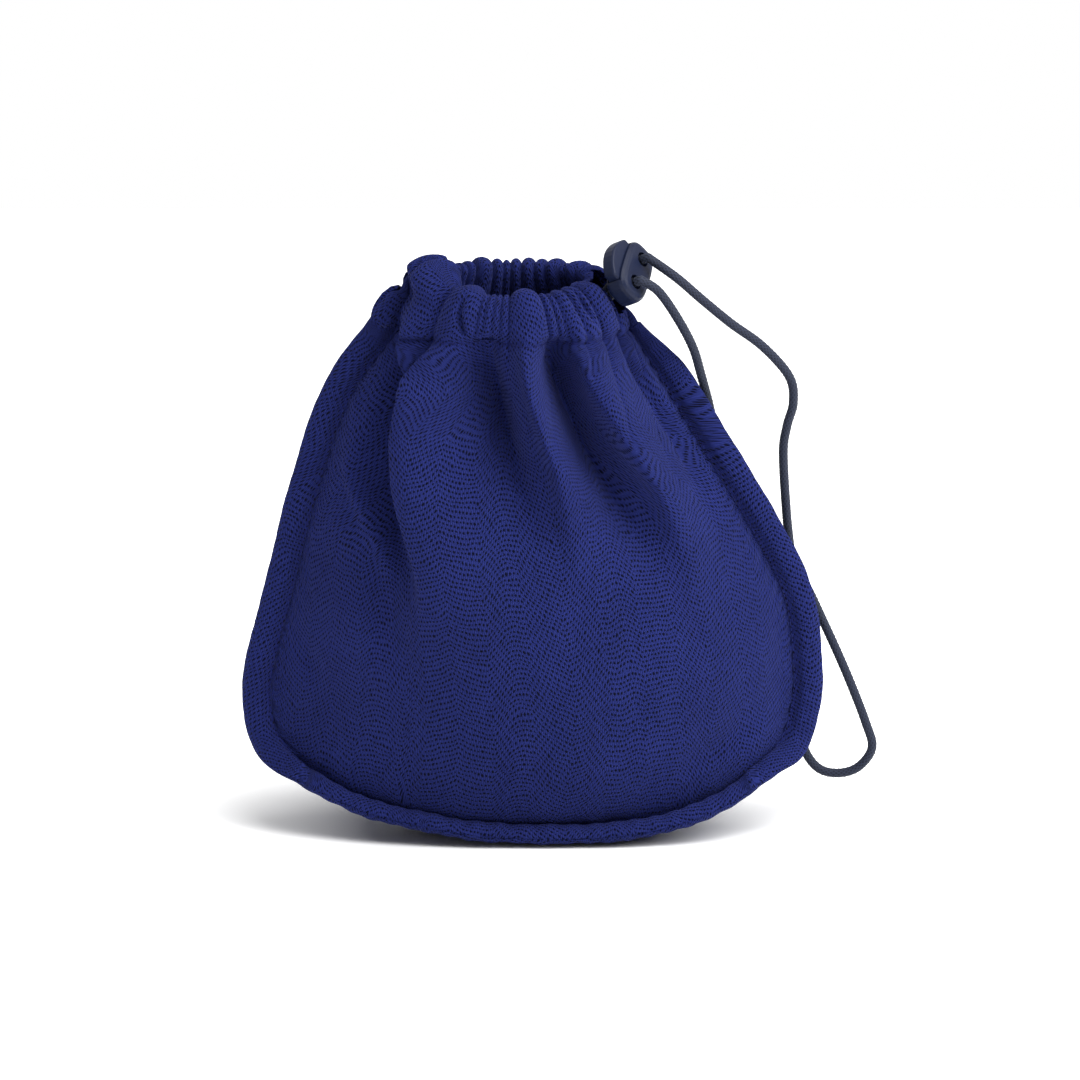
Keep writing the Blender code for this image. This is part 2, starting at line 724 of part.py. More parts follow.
def ring_route(frame_matrix):
    """The held cord: out of the lower hole of the lock, round inside the casing and into the upper hole."""
    inner = LOCK_THICKNESS / 2 - CORD_END_GAP
    height = STITCH_HEIGHT + CORD_HEIGHT_SHARE * CASING_HEIGHT
    inset = (CASING_DEPTH - CASING_BULGE) / 2
    centre = (MOUTH_CENTRE + GATHER_CENTRE) / 2
    width = (MOUTH_WIDTH + GATHER_WIDTH) / 2 - 2 * inset
    depth = (MOUTH_DEPTH + GATHER_DEPTH) / 2 - 2 * inset
    halves = []
    for side in (-1, 1):
        outside = through_lock(frame_matrix, side, inner - CORD_STRAIGHT)
        turning = ring_point(CORD_APPROACH, side, centre, width, depth, height)
        half = [through_lock(frame_matrix, side, inner), outside, (outside + turning) / 2]
        for step in range(RING_STEPS, 0, -1):
            half.append(ring_point(CORD_TURN * step / RING_STEPS, side, centre, width, depth, height))
        halves.append(half)
    front, back = halves
    return front + [ring_point(0.0, -1, centre, width, depth, height)] + back[::-1]


def loop_route(frame_matrix):
    """The free loop: out of the lower hole, down and round beside the pouch, and into the upper hole."""
    outer = LOCK_THICKNESS / 2
    start = [through_lock(frame_matrix, -1, outer + out) for out in (0.0, CORD_LEAD_OUT)]
    end = [through_lock(frame_matrix, 1, outer + out) for out in (CORD_LEAD_OUT, 0.0)]
    return start + [np.array(point) for point in LOOP_ROUTE] + end


def main():
    for item in list(bpy.data.objects):
        bpy.data.objects.remove(item, do_unlink=True)

    mesh_cloth = material("navy_knit_mesh", (0.024, 0.031, 0.235), 0.85)
    braid = material("slate_braid", (0.019, 0.027, 0.060), 0.70)
    plastic = material("navy_plastic", (0.040, 0.050, 0.105), 0.38)
    steel = material("spring_steel", (0.560, 0.570, 0.580), 0.30, 1.0)

    pouch = bpy.data.objects.new("pouch_frame", None)
    pouch.location = (*BASE_CENTRE, 0.0)
    bpy.context.scene.collection.objects.link(pouch)
    placing = lock_matrix()
    frame = bpy.data.objects.new("cord_lock_frame", None)
    frame.matrix_world = placing
    bpy.context.scene.collection.objects.link(frame)

    for name, side, profile, folds in (
        ("front_panel", -1, FRONT_PROFILE, FRONT_FOLDS),
        ("back_panel", 1, BACK_PROFILE, BACK_FOLDS),
    ):
        panel = panel_mesh(name, side, profile, folds)
        panel.data.materials.append(mesh_cloth)

    cord_object("drawcord", evenly(ring_route(placing), CORD_STEP), braid)
    cord_object("drawcord_loop", evenly(loop_route(placing), LOOP_STEP), braid)
    lock_housing(frame, plastic)
    lock_plunger(frame, plastic)
    lock_spring(frame, steel)

    for item in list(bpy.data.objects):
        if item.parent is None and item != pouch:
            item.parent = pouch


main()
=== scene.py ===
"""Looks of a kinchaku drawstring pouch in navy knit mesh, standing open on its base, with its cord and cord lock.

Metres, +Z up, front of the pouch facing -Y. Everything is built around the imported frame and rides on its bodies.
"""

import logging
import math
from dataclasses import dataclass
from enum import Enum

import bpy
import numpy as np
from mathutils import Matrix, Vector


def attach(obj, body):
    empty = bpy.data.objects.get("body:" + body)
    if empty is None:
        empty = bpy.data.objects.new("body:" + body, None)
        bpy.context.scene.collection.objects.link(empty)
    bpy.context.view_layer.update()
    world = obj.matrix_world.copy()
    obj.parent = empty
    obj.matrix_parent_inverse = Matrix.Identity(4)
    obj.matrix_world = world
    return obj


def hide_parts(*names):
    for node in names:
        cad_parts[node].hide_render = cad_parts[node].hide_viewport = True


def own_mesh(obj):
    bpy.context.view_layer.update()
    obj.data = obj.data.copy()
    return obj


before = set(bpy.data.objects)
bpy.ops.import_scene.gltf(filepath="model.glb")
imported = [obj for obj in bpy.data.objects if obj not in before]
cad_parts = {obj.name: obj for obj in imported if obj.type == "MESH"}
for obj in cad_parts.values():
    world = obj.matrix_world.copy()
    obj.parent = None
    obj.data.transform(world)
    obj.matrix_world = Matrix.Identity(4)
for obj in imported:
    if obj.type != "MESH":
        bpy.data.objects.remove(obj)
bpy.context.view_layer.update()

LOG = logging.getLogger("pouch")
POUCH_PLACE = np.array([0.0011, -0.0004, 0.0])


class Side(Enum):
    """The two cloth panels: the sign is the way each one faces along Y."""

    FRONT = -1
    BACK = 1


def unit(vectors: np.ndarray) -> np.ndarray:
    """Returns the vectors scaled to length one."""
    return vectors / np.maximum(np.linalg.norm(vectors, axis=-1, keepdims=True), 1e-12)


def smoothstep(low: float, high: float, value: np.ndarray) -> np.ndarray:
    """Returns a smooth step from 0 at low to 1 at high."""
    t = np.clip((value - low) / (high - low), 0.0, 1.0)
    return t * t * (3 - 2 * t)


class SmoothCurve:
    """A smooth curve through a route's points, read by the share of its length."""

    STEPS = 24

    def __init__(self, points: np.ndarray) -> None:
        """Samples the curve densely.

        Args:
            points: the route, one row a point, of any width.
        """
        route = np.array(points, dtype=float)
        ahead = np.vstack([2 * route[0] - route[1], route, 2 * route[-1] - route[-2]])
        t = (np.arange(1, self.STEPS + 1) / self.STEPS)[:, None]
        parts = [route[:1]]
        for index in range(len(route) - 1):
            before, start, end, after = ahead[index : index + 4]
            parts.append(
                0.5
                * (
                    2 * start
                    + (end - before) * t
                    + (2 * before - 5 * start + 4 * end - after) * t**2
                    + (3 * start - before - 3 * end + after) * t**3
                )
            )
        self.dense = np.vstack(parts)
        steps = np.linalg.norm(np.diff(self.dense, axis=0), axis=1)
        self.lengths = np.concatenate([[0.0], np.cumsum(steps)])
        self.length = float(self.lengths[-1])

    def stretch(self, start: int, end: int, back: bool = False) -> "SmoothCurve":
        """Cuts out a stretch of the sampled curve.

        Args:
            start: the first sample.
            end: the last sample.
            back: whether the stretch is turned round.
        Returns:
            The stretch as a curve of its own.
        """
        part = object.__new__(SmoothCurve)
        part.dense = self.dense[start : end + 1][:: -1 if back else 1]
        steps = np.linalg.norm(np.diff(part.dense, axis=0), axis=1)
        part.lengths = np.concatenate([[0.0], np.cumsum(steps)])
        part.length = float(part.lengths[-1])
        return part

    def __call__(self, share: np.ndarray) -> np.ndarray:
        """Reads points of the curve.

        Args:
            share: shares 0 to 1 of the curve's length, of any shape.
        Returns:
            Points in the last axis of an array of that shape.
        """
        place = np.clip(share, 0.0, 1.0) * self.length
        return np.stack([np.interp(place, self.lengths, axis) for axis in self.dense.T], axis=-1)

    def column(self, at: np.ndarray) -> np.ndarray:
        """Reads the curve as a table, by its first column.

        Args:
            at: values of the first column.
        Returns:
            The other columns there, in the last axis.
        """
        key = np.maximum.accumulate(self.dense[:, 0])
        return np.stack([np.interp(at, key, axis) for axis in self.dense.T[1:]], axis=-1)


class MeshDraft:
    """Collects grids of points into one mesh with a UV map in metres of flat cloth."""

    def __init__(self) -> None:
        """Starts an empty draft."""
        self.points: list[np.ndarray] = []
        self.flat: list[np.ndarray] = []
        self.faces: list[np.ndarray] = []
        self.count = 0

    def add(self, points: np.ndarray, flat: np.ndarray) -> np.ndarray:
        """Adds a grid of points.

        Args:
            points: the places, three numbers in the last axis.
            flat: the UV places, two numbers in the last axis.
        Returns:
            The new vertices' numbers, in the grid's shape.
        """
        numbers = np.arange(self.count, self.count + points[..., 0].size).reshape(points.shape[:-1])
        self.points.append(points.reshape(-1, 3))
        self.flat.append(flat.reshape(-1, 2))
        self.count += points[..., 0].size
        return numbers

    def skin(self, numbers: np.ndarray, flip: bool) -> None:
        """Fills a grid of vertex numbers with quads; flip turns them over."""
        quads = np.stack([numbers[:-1, :-1], numbers[:-1, 1:], numbers[1:, 1:], numbers[1:, :-1]], axis=-1)
        quads = quads.reshape(-1, 4)
        self.faces.append(quads[:, ::-1] if flip else quads)

    def build(self, name: str, material: bpy.types.Material) -> bpy.types.Object:
        """Makes the object.

        Args:
            name: the object's name.
            material: its material.
        Returns:
            A smooth-shaded mesh object in the scene.
        """
        points = np.concatenate(self.points)
        flat = np.concatenate(self.flat)
        faces = np.concatenate(self.faces)
        data = bpy.data.meshes.new(name)
        data.from_pydata(points.tolist(), [], faces.tolist())
        layer = data.uv_layers.new(name="flat_cloth")
        corner = np.empty(len(data.loops), dtype=np.int32)
        data.loops.foreach_get("vertex_index", corner)
        layer.data.foreach_set("uv", flat[corner].astype(np.float32).ravel())
        data.shade_smooth()
        data.materials.append(material)
        item = bpy.data.objects.new(name, data)
        bpy.context.scene.collection.objects.link(item)
        return item


def tube(
    draft: MeshDraft,
    line: np.ndarray,
    radius: np.ndarray,
    sides: int,
    relief: float = 0.0,
    pitch: float = 1.0,
    carriers: int = 8,
) -> None:
    """Adds a round tube along a line, with crossed strands standing out of it if relief is given.

    Args:
        draft: where the tube goes.
        line: the centreline's points.
        radius: its radius at each point.
        sides: points round it.
        relief: height of the strands.
        pitch: length along the cord of one strand's width.
        carriers: strands that run each way round.
    """
    tangent = unit(np.gradient(line, axis=0))
    side = unit(np.cross(tangent[0], [0.31, 0.22, 0.92]))
    frames = []
    for direction in tangent:
        side = unit(side - direction * side.dot(direction))
        frames.append(side)
    first = np.array(frames)
    second = np.cross(tangent, first)
    run = np.concatenate([[0.0], np.cumsum(np.linalg.norm(np.diff(line, axis=0), axis=1))])
    turn = np.arange(sides + 1) / sides
    along, around = np.meshgrid(run, turn, indexing="ij")
    lift = np.zeros_like(along)
    if relief:
        one = 2 * np.pi * (carriers * around + along / pitch)
        other = 2 * np.pi * (carriers * around - along / pitch)
        over = np.cos((one + other) / 2) * np.cos((one - other) / 2)
        strands = np.maximum(np.cos(one) + 0.8 * over, np.cos(other) - 0.8 * over)
        lift = relief * (strands - 0.9)
    reach = (radius[:, None] + lift)[..., None]
    angle = 2 * np.pi * around[..., None]
    points = line[:, None] + reach * (np.cos(angle) * first[:, None] + np.sin(angle) * second[:, None])
    draft.skin(draft.add(points, np.stack([along, around], axis=-1)), True)


@dataclass(frozen=True)
class Fold:
    """A ridge or valley: rows of down, across, height, and widths to the left and right as shares across.

    Down is 0 at the casing stitch, 1 at the bottom seam and -0.1 at the rim. A lean moves the crest sideways,
    as a share of its height. A crease below 2 sharpens the crest.
    """

    rows: tuple[tuple[float, float, float, float, float], ...]
    lean: float = 0.0
    crease: float = 2.0

    def height(self, across: np.ndarray, down: np.ndarray) -> np.ndarray:
        """Reads the fold.

        Args:
            across: shares across, for each column.
            down: shares down, for each row.
        Returns:
            Heights in metres, by column and row.
        """
        centre, height, left, right = SmoothCurve(np.array(self.rows)).column(down).T
        inside = (down >= self.rows[0][0]) & (down <= self.rows[-1][0])
        away = across[:, None] - centre
        spread = np.where(away < 0, left, right)
        return np.where(inside, height, 0.0) * np.exp(-(np.abs(away / spread) ** self.crease))


@dataclass(frozen=True)
class PouchForm:
    """The pouch's smooth shape: two oval rings at the mouth, the seam line and the middle profiles."""

    rim_height: float = 0.1725
    seam_width: float = 0.1600
    belly_depth: float = 0.0330
    base_reach: float = 0.0200
    casing_height: float = 0.0170
    casing_bulge: float = 0.0018
    casing_depth: float = 0.0068
    mouth_centre: float = -0.0068
    mouth_width: float = 0.0535
    mouth_depth: float = 0.0470
    gather_centre: float = -0.0066
    gather_width: float = 0.0700
    gather_depth: float = 0.0500

    SEAM = (
        (-0.525, 0.00, 0.901), (-0.712, 0.00, 0.776), (-0.842, 0.00, 0.595), (-0.925, 0.00, 0.440),
        (-1.003, 0.00, 0.300), (-1.016, 0.06, 0.228), (-0.980, 0.18, 0.168), (-0.865, 0.45, 0.113),
        (-0.660, 0.72, 0.068), (-0.405, 0.92, 0.044), (-0.190, 1.00, 0.030), (0.160, 1.00, 0.026),
        (0.436, 0.92, 0.037), (0.665, 0.72, 0.066), (0.804, 0.45, 0.106), (0.930, 0.18, 0.160),
        (0.975, 0.06, 0.215), (0.988, 0.00, 0.290), (0.950, 0.00, 0.420), (0.819, 0.00, 0.545),
        (0.594, 0.00, 0.720), (0.362, 0.00, 0.901),
    )
    LEFT_CORNER = 7
    RIGHT_CORNER = 14
    PROFILES = {
        Side.FRONT: (
            (-0.76, 0.901), (-0.86, 0.700), (-0.97, 0.460), (-1.00, 0.270), (-0.94, 0.130), (-0.80, 0.062),
            (-0.61, 0.026),
        ),
        Side.BACK: (
            (0.76, 0.901), (0.86, 0.700), (0.97, 0.460), (1.00, 0.270), (0.95, 0.110), (0.78, 0.020),
            (0.40, -0.030), (-0.10, -0.040), (-0.50, -0.010), (-0.61, 0.026),
        ),
    }

    @property
    def stitch_height(self) -> float:
        """Height of the casing's stitch line."""
        return self.rim_height - self.casing_height

    def seam_curves(self) -> tuple[SmoothCurve, SmoothCurve, SmoothCurve]:
        """Returns the left, bottom and right stretches of the seam line."""
        scale = np.array([self.seam_width / 2, -self.base_reach, self.rim_height])
        whole = SmoothCurve(np.array(self.SEAM) * scale)
        first, last = self.LEFT_CORNER * whole.STEPS, self.RIGHT_CORNER * whole.STEPS
        left = whole.stretch(0, first)
        bottom = whole.stretch(first, last)
        right = whole.stretch(last, len(whole.dense) - 1, True)
        return left, bottom, right

    def ring(
        self, across: np.ndarray, side: Side, centre: float, width: float, depth: float, height: np.ndarray
    ) -> np.ndarray:
        """Points of an oval ring.

        Args:
            across: shares from the left end to the right end.
            side: the front or the back half.
            centre: the ring's middle along X.
            width: its width.
            depth: its depth.
            height: its height, one number or one each.
        Returns:
            Points in the last axis.
        """
        angle = np.pi * across
        x = centre - width / 2 * np.cos(angle)
        y = side.value * depth / 2 * np.sin(angle)
        return np.stack(np.broadcast_arrays(x, y, height), axis=-1)

    def gather_ring(self, across: np.ndarray, side: Side) -> np.ndarray:
        """Points of the casing's stitch line."""
        return self.ring(across, side, self.gather_centre, self.gather_width, self.gather_depth, self.stitch_height)

    def rim_ring(self, across: np.ndarray, side: Side) -> np.ndarray:
        """Points of the rim."""
        return self.ring(across, side, self.mouth_centre, self.mouth_width, self.mouth_depth, self.rim_height)

    def outward(self, across: np.ndarray, side: Side) -> np.ndarray:
        """Level directions out of the mouth's oval."""
        angle = np.pi * across
        x = -self.mouth_depth * np.cos(angle)
        y = side.value * self.mouth_width * np.sin(angle)
        return unit(np.stack([x, y, np.zeros_like(x)], axis=-1))

    def body(self, across: np.ndarray, down: np.ndarray, side: Side) -> np.ndarray:
        """The smooth cloth between the casing stitch, the side seams and the bottom seam.

        Args:
            across: shares across, for each column.
            down: shares down, for each row.
            side: the front or back panel.
        Returns:
            Points by column and row.
        """
        left_curve, bottom_curve, right_curve = self.seam_curves()
        left, right = left_curve(down)[None], right_curve(down)[None]
        v = down[None, :, None]
        ends = self.gather_ring(np.array([0.0, 1.0]), side)

        def coons(u: np.ndarray) -> np.ndarray:
            """Returns the patch between the four edges at shares u."""
            w = u[:, None, None]
            edges = (1 - w) * left + w * right
            caps = (1 - v) * self.gather_ring(u, side)[:, None] + v * bottom_curve(u)[:, None]
            top = (1 - w) * ends[0] + w * ends[1]
            low = (1 - w) * left_curve(np.array(1.0)) + w * right_curve(np.array(1.0))
            return edges + caps - ((1 - v) * top + v * low)

        point = coons(across)
        out, up = SmoothCurve(np.array(self.PROFILES[side]))(down).T
        middle = coons(np.array([0.5]))[0]
        swell = np.zeros_like(middle)
        swell[:, 1] = out * self.belly_depth - middle[:, 1]
        swell[:, 2] = up * self.rim_height - middle[:, 2]
        spread = np.sin(np.pi * across[:, None]) ** (0.55 + 0.20 * down[None])
        return point + swell[None] * spread[..., None]


@dataclass(frozen=True)
class Value:
    """A number, vector or colour in a node tree; arithmetic on it adds maths nodes."""

    nodes: "Nodes"
    socket: bpy.types.NodeSocket

    def __add__(self, other: object) -> "Value":
        """Returns the sum."""
        return self.nodes.math("ADD", self, other)

    def __sub__(self, other: object) -> "Value":
        """Returns the difference."""
        return self.nodes.math("SUBTRACT", self, other)

    def __rsub__(self, other: object) -> "Value":
        """Returns the difference from a number."""
        return self.nodes.math("SUBTRACT", other, self)

    def __mul__(self, other: object) -> "Value":
        """Returns the product."""
        return self.nodes.math("MULTIPLY", self, other)

    def __truediv__(self, other: object) -> "Value":
        """Returns the quotient."""
        return self.nodes.math("DIVIDE", self, other)


class Nodes:
    """Adds nodes to a tree and links them."""

    def __init__(self, tree: bpy.types.NodeTree) -> None:
        """Keeps the tree."""
        self.tree = tree

    def put(self, target: bpy.types.NodeSocket, value: object) -> None:
        """Links a value to a socket, or sets the socket to a constant."""
        if isinstance(value, Value):
            self.tree.links.new(value.socket, target)
        else:
            target.default_value = value

    def add(self, kind: str, inputs: dict, output: int | str = 0, **settings: object) -> Value:
        """Adds a node.

        Args:
            kind: its type's name after ShaderNode.
            inputs: values by the input's name or number.
            output: the output that is read.
            settings: its settings.
        Returns:
            That output.
        """
        node = self.tree.nodes.new(f"ShaderNode{kind}")
        for name, setting in settings.items():
            setattr(node, name, setting)
        for label, value in inputs.items():
            self.put(node.inputs[label], value)
        return Value(self, node.outputs[output])

    def math(self, operation: str, *values: object) -> Value:
        """Returns a maths node's result."""
        return self.add("Math", dict(enumerate(values)), operation=operation)

    def split(self, vector: Value) -> list[Value]:
        """Returns a vector's parts."""
        node = self.add("SeparateXYZ", {0: vector}).socket.node
        return [Value(self, part) for part in node.outputs]

    def noise(self, vector: Value, scale: float, detail: float = 2.0, roughness: float = 0.5) -> Value:
        """Returns a noise value around 0.5."""
        inputs = {"Vector": vector, "Scale": scale, "Detail": detail, "Roughness": roughness}
        return self.add("TexNoise", inputs, "Fac")

    def ramp(self, value: Value, low: object, high: object) -> Value:
        """Returns a smooth step of a value, from 0 at low to 1 at high."""
        inputs = {"Value": value, "From Min": low, "From Max": high}
        return self.add("MapRange", inputs, interpolation_type="SMOOTHSTEP")


class Group(Nodes):
    """A shader node group with named inputs and outputs."""

    def __init__(self, name: str, inputs: dict[str, float | None], outputs: tuple[str, ...]) -> None:
        """Makes the group and its sockets.

        Args:
            name: its name.
            inputs: each input's default number, or None for a vector.
            outputs: the names of its outputs, which are numbers.
        """
        super().__init__(bpy.data.node_groups.new(name, "ShaderNodeTree"))
        for label, value in inputs.items():
            kind = "NodeSocketVector" if value is None else "NodeSocketFloat"
            socket = self.tree.interface.new_socket(label, in_out="INPUT", socket_type=kind)
            if value is not None:
                socket.default_value = value
        for label in outputs:
            self.tree.interface.new_socket(label, in_out="OUTPUT", socket_type="NodeSocketFloat")
        self.source = self.tree.nodes.new("NodeGroupInput")
        self.sink = self.tree.nodes.new("NodeGroupOutput")

    def __getitem__(self, label: str) -> Value:
        """Returns an input, as read inside the group."""
        return Value(self, self.source.outputs[label])

    def __setitem__(self, label: str, value: Value) -> None:
        """Sends a value to an output."""
        self.put(self.sink.inputs[label], value)


def knit_mesh_group() -> bpy.types.NodeTree:
    """Herringbone knit with rows of small holes: outputs the hole mask, the height and a tone; the tone is partly
    painted light, lighter on the raised yarn with a painted highlight beside each hole, and partly random grain.

    Returns:
        The node group; its vector input is the flat cloth's place in metres.
    """
    inputs = {"Cloth": None, "Wale": 0.00113, "Course": 0.00156, "Column": 0.0115, "Slope": 0.58}
    group = Group("knit_mesh", inputs, ("Hole", "Height", "Tone"))
    cloth = group["Cloth"]
    u, v, _ = group.split(cloth)
    u = u + (group.noise(cloth, 260.0) - 0.5) * 0.0010
    wander = group.noise(cloth, 38.0) * 0.0070
    zigzag = group.math("PINGPONG", u + wander, group["Column"])
    y = (v + zigzag * group["Slope"] + group.noise(cloth, 180.0, 1.0) * 0.0019) / group["Course"]
    row = group.math("FLOOR", y)
    x = u / group["Wale"] + group.math("MODULO", row, 2.0) * 0.5
    cell = group.add("CombineXYZ", {0: group.math("FLOOR", x), 1: row})
    wide = (group.math("FRACT", x) - 0.5) * 1.20
    along = group.math("FRACT", y) - 0.5
    tall = along * 1.40
    reach = group.math("SQRT", wide * wide + tall * tall)
    size = group.noise(cell, 0.73, 0.0) * 0.48 + 0.18
    hole = group.math("SUBTRACT", 1.0, group.ramp(reach, size * 0.45, size * 1.05))
    # The loops' wave is slight relief in the height and a painted highlight beside each hole in the tone.
    loops = group.math("SINE", x * (4 * math.pi))
    crest = group.math("ABSOLUTE", along) * 0.45
    fuzz = group.noise(cloth, 2300.0, 3.0, 0.7)
    patches = group.noise(cloth, 45.0, 3.0, 0.6)
    group["Hole"] = hole
    group["Height"] = crest + loops * 0.12 + fuzz * 0.25 - hole * 0.9
    # Tone: the crest and loops terms are painted light, lighter on raised yarn and beside the holes; fuzz and patches
    # are random real tone.
    group["Tone"] = crest * 0.60 + 0.80 + loops * 0.24 + (fuzz - 0.5) * 1.30 + (patches - 0.5) * 0.34
    return group.tree


def braid_group() -> bpy.types.NodeTree:
    """Crossed strands of a braided cord: outputs the height of the fine yarns and a tone that is painted shade,
    darker in the grooves between strands, plus random grain.

    Returns:
        The node group; its vector input is the length along the cord in metres and the turn around it.
    """
    group = Group("cord_braid", {"Cord": None, "Pitch": 0.0016, "Carriers": 8.0}, ("Height", "Tone"))
    along, around, _ = group.split(group["Cord"])
    advance = along / group["Pitch"]
    turns = around * group["Carriers"]
    one, other = turns + advance, turns - advance

    def wave(operation: str, phase: Value, cycles: int = 1) -> Value:
        """Returns a wave of so many cycles for each step of the phase."""
        return group.math(operation, phase * (2 * math.pi * cycles))

    over = wave("COSINE", turns) * wave("COSINE", advance) * 0.8
    first = wave("COSINE", one) + over
    second = wave("COSINE", other) - over
    strand = group.math("MAXIMUM", first, second)
    which = group.math("GREATER_THAN", first, second)
    fibres = which * wave("SINE", other, 4) + (1.0 - which) * wave("SINE", one, 4)
    grain = group.noise(group.add("CombineXYZ", {0: along * 900.0, 1: turns}), 2.0)
    group["Height"] = strand * 0.25 + fibres * 0.12 + grain * 0.2
    # Tone: painted shade, darker where the strands sink between each other, plus random grain.
    group["Tone"] = group.ramp(strand, -0.2, 1.1) + grain * 0.25
    return group.tree


def moulded_group() -> bpy.types.NodeTree:
    """Satin moulded plastic: outputs a fine grain's height, a roughness change and a tone.

    Returns:
        The node group; its vector input is the object's place in metres.
    """
    group = Group("moulded_grain", {"Place": None, "Scale": 1.0}, ("Height", "Rough", "Tone"))
    flow = group.noise(group["Place"], 90.0, 3.0, 0.55)
    rub = group.noise(group["Place"], 600.0, 4.0, 0.7)
    group["Height"] = group.noise(group["Place"], 4200.0, 2.0, 0.6) * group["Scale"]
    group["Rough"] = group.ramp(flow * 0.5 + rub * 0.5, 0.3, 0.7)
    group["Tone"] = flow * 0.2 + 0.9
    return group.tree


class Surface(Nodes):
    """A material with one Principled shader."""

    def __init__(self, name: str, colour: tuple[float, float, float], inputs: dict[str, object]) -> None:
        """Makes the material.

        Args:
            name: its name.
            colour: its linear base colour.
            inputs: more of its shader's inputs, by name.
        """
        self.material = bpy.data.materials.new(name)
        self.material.use_nodes = True
        super().__init__(self.material.node_tree)
        self.shader = self.tree.nodes["Principled BSDF"]
        self.dress({"Base Color": (*colour, 1.0), **inputs})

    def dress(self, inputs: dict[str, object]) -> None:
        """Sets or links the shader's inputs, by name."""
        for label, value in inputs.items():
            self.put(self.shader.inputs[label], value)

    def flat_place(self) -> Value:
        """Returns the place on the flat cloth or cord."""
        return self.add("UVMap", {}, "UV", uv_map="flat_cloth")

    def shared(self, group: bpy.types.NodeTree, vector: Value) -> dict[str, Value]:
        """Adds a shared group that reads a vector, and returns its outputs by name."""
        node = self.add("Group", {0: vector}, node_tree=group).socket.node
        return {output.name: Value(self, output) for output in node.outputs}

    def tint(self, colour: tuple, shade: tuple, share: Value) -> Value:
        """Returns a colour between two, by a share."""
        return self.add("Mix", {0: share, 6: (*colour, 1.0), 7: (*shade, 1.0)}, 2, data_type="RGBA")

    def bump(self, height: Value, distance: float, strength: float) -> None:
        """Bumps the shader's normal; a height of 1 is the distance in metres."""
        inputs = {"Height": height, "Distance": distance, "Strength": strength}
        self.dress({"Normal": self.add("Bump", inputs)})


@dataclass(frozen=True)
class KnitFinish:
    """Navy knit mesh cloth, its holes painted dark as painted shade in place of open holes."""

    colour: tuple[float, float, float] = (0.0138, 0.0204, 0.119)
    # Hole colour: painted shade that stands in for the dark seen through real openings.
    shade: tuple[float, float, float] = (0.0016, 0.0024, 0.012)
    roughness: float = 0.88
    relief: float = 0.00060

    def build(self, knit: bpy.types.NodeTree) -> bpy.types.Material:
        """Makes the material.

        Args:
            knit: the knit's node group.
        Returns:
            The material.
        """
        inputs = {"Roughness": self.roughness, "Specular IOR Level": 0.06, "Sheen Weight": 0.10}
        cloth = Surface("knit_mesh_navy", self.colour, inputs)
        cloth.dress({"Sheen Roughness": 0.40, "Sheen Tint": (0.30, 0.35, 1.0, 1.0)})
        weave = cloth.shared(knit, cloth.flat_place())
        # The holes get the shade colour, painted shade; the tone multiplied in next adds painted light on raised yarn
        # and beside holes.
        colour = cloth.tint(self.colour, self.shade, weave["Hole"])
        toned = {0: 1.0, 6: colour, 7: weave["Tone"]}
        cloth.dress({"Base Color": cloth.add("Mix", toned, 2, data_type="RGBA", blend_type="MULTIPLY")})
        cloth.bump(weave["Height"], self.relief, 0.8)
        return cloth.material


@dataclass(frozen=True)
class BraidFinish:
    """Fine braid of dark slate yarns."""

    colour: tuple[float, float, float] = (0.020, 0.026, 0.050)
    shade: tuple[float, float, float] = (0.003, 0.004, 0.010)
    roughness: float = 0.62
    relief: float = 0.00012

    def build(self, braid: bpy.types.NodeTree) -> bpy.types.Material:
        """Makes the material.

        Args:
            braid: the braid's node group.
        Returns:
            The material.
        """
        inputs = {"Roughness": self.roughness, "Sheen Weight": 0.05, "Specular IOR Level": 0.2}
        cord = Surface("braid_slate", self.colour, inputs)
        strands = cord.shared(braid, cord.flat_place())
        # The tone draws the grooves between strands towards the shade colour: painted shade.
        cord.dress({"Base Color": cord.tint(self.shade, self.colour, strands["Tone"])})
        cord.bump(strands["Height"], self.relief, 0.7)
        return cord.material


@dataclass(frozen=True)
class PlasticFinish:
    """Satin moulded plastic."""

    name: str = "plastic_navy"
    colour: tuple[float, float, float] = (0.0066, 0.0104, 0.0310)
    shade: tuple[float, float, float] = (0.0048, 0.0076, 0.0240)
    roughness: tuple[float, float] = (0.32, 0.46)
    relief: float = 0.00003

    def build(self, grain: bpy.types.NodeTree) -> bpy.types.Material:
        """Makes the material.

        Args:
            grain: the moulded grain's node group.
        Returns:
            The material.
        """
        low, high = self.roughness
        plastic = Surface(self.name, self.colour, {"Roughness": low, "Specular IOR Level": 0.15})
        moulded = plastic.shared(grain, plastic.add("TexCoord", {}, "Object"))
        rough = plastic.add("MapRange", {"Value": moulded["Rough"], "To Min": low, "To Max": high})
        plastic.dress({"Base Color": plastic.tint(self.shade, self.colour, moulded["Tone"]), "Roughness": rough})
        plastic.bump(moulded["Height"], self.relief, 0.5)
        return plastic.material


@dataclass(frozen=True)
class ThreadFinish:
    """Twisted navy sewing thread, painted darker in the grooves of its twist: painted shade."""

    colour: tuple[float, float, float] = (0.012, 0.016, 0.125)
    shade: tuple[float, float, float] = (0.006, 0.008, 0.060)
    roughness: float = 0.60
    twist: float = 0.0004
    relief: float = 0.00008

    def build(self) -> bpy.types.Material:
        """Makes the material."""
        thread = Surface("thread_navy", self.colour, {"Roughness": self.roughness, "Specular IOR Level": 0.1})
        run, turn, _ = thread.split(thread.flat_place())
        turns = thread.math("MULTIPLY_ADD", run, 1 / self.twist, turn)
        strand = thread.math("PINGPONG", turns, 0.5)
        # The colour follows the twist's height: painted shade in its grooves.
        thread.dress({"Base Color": thread.tint(self.shade, self.colour, strand)})
        thread.bump(strand, self.relief, 0.6)
        return thread.material


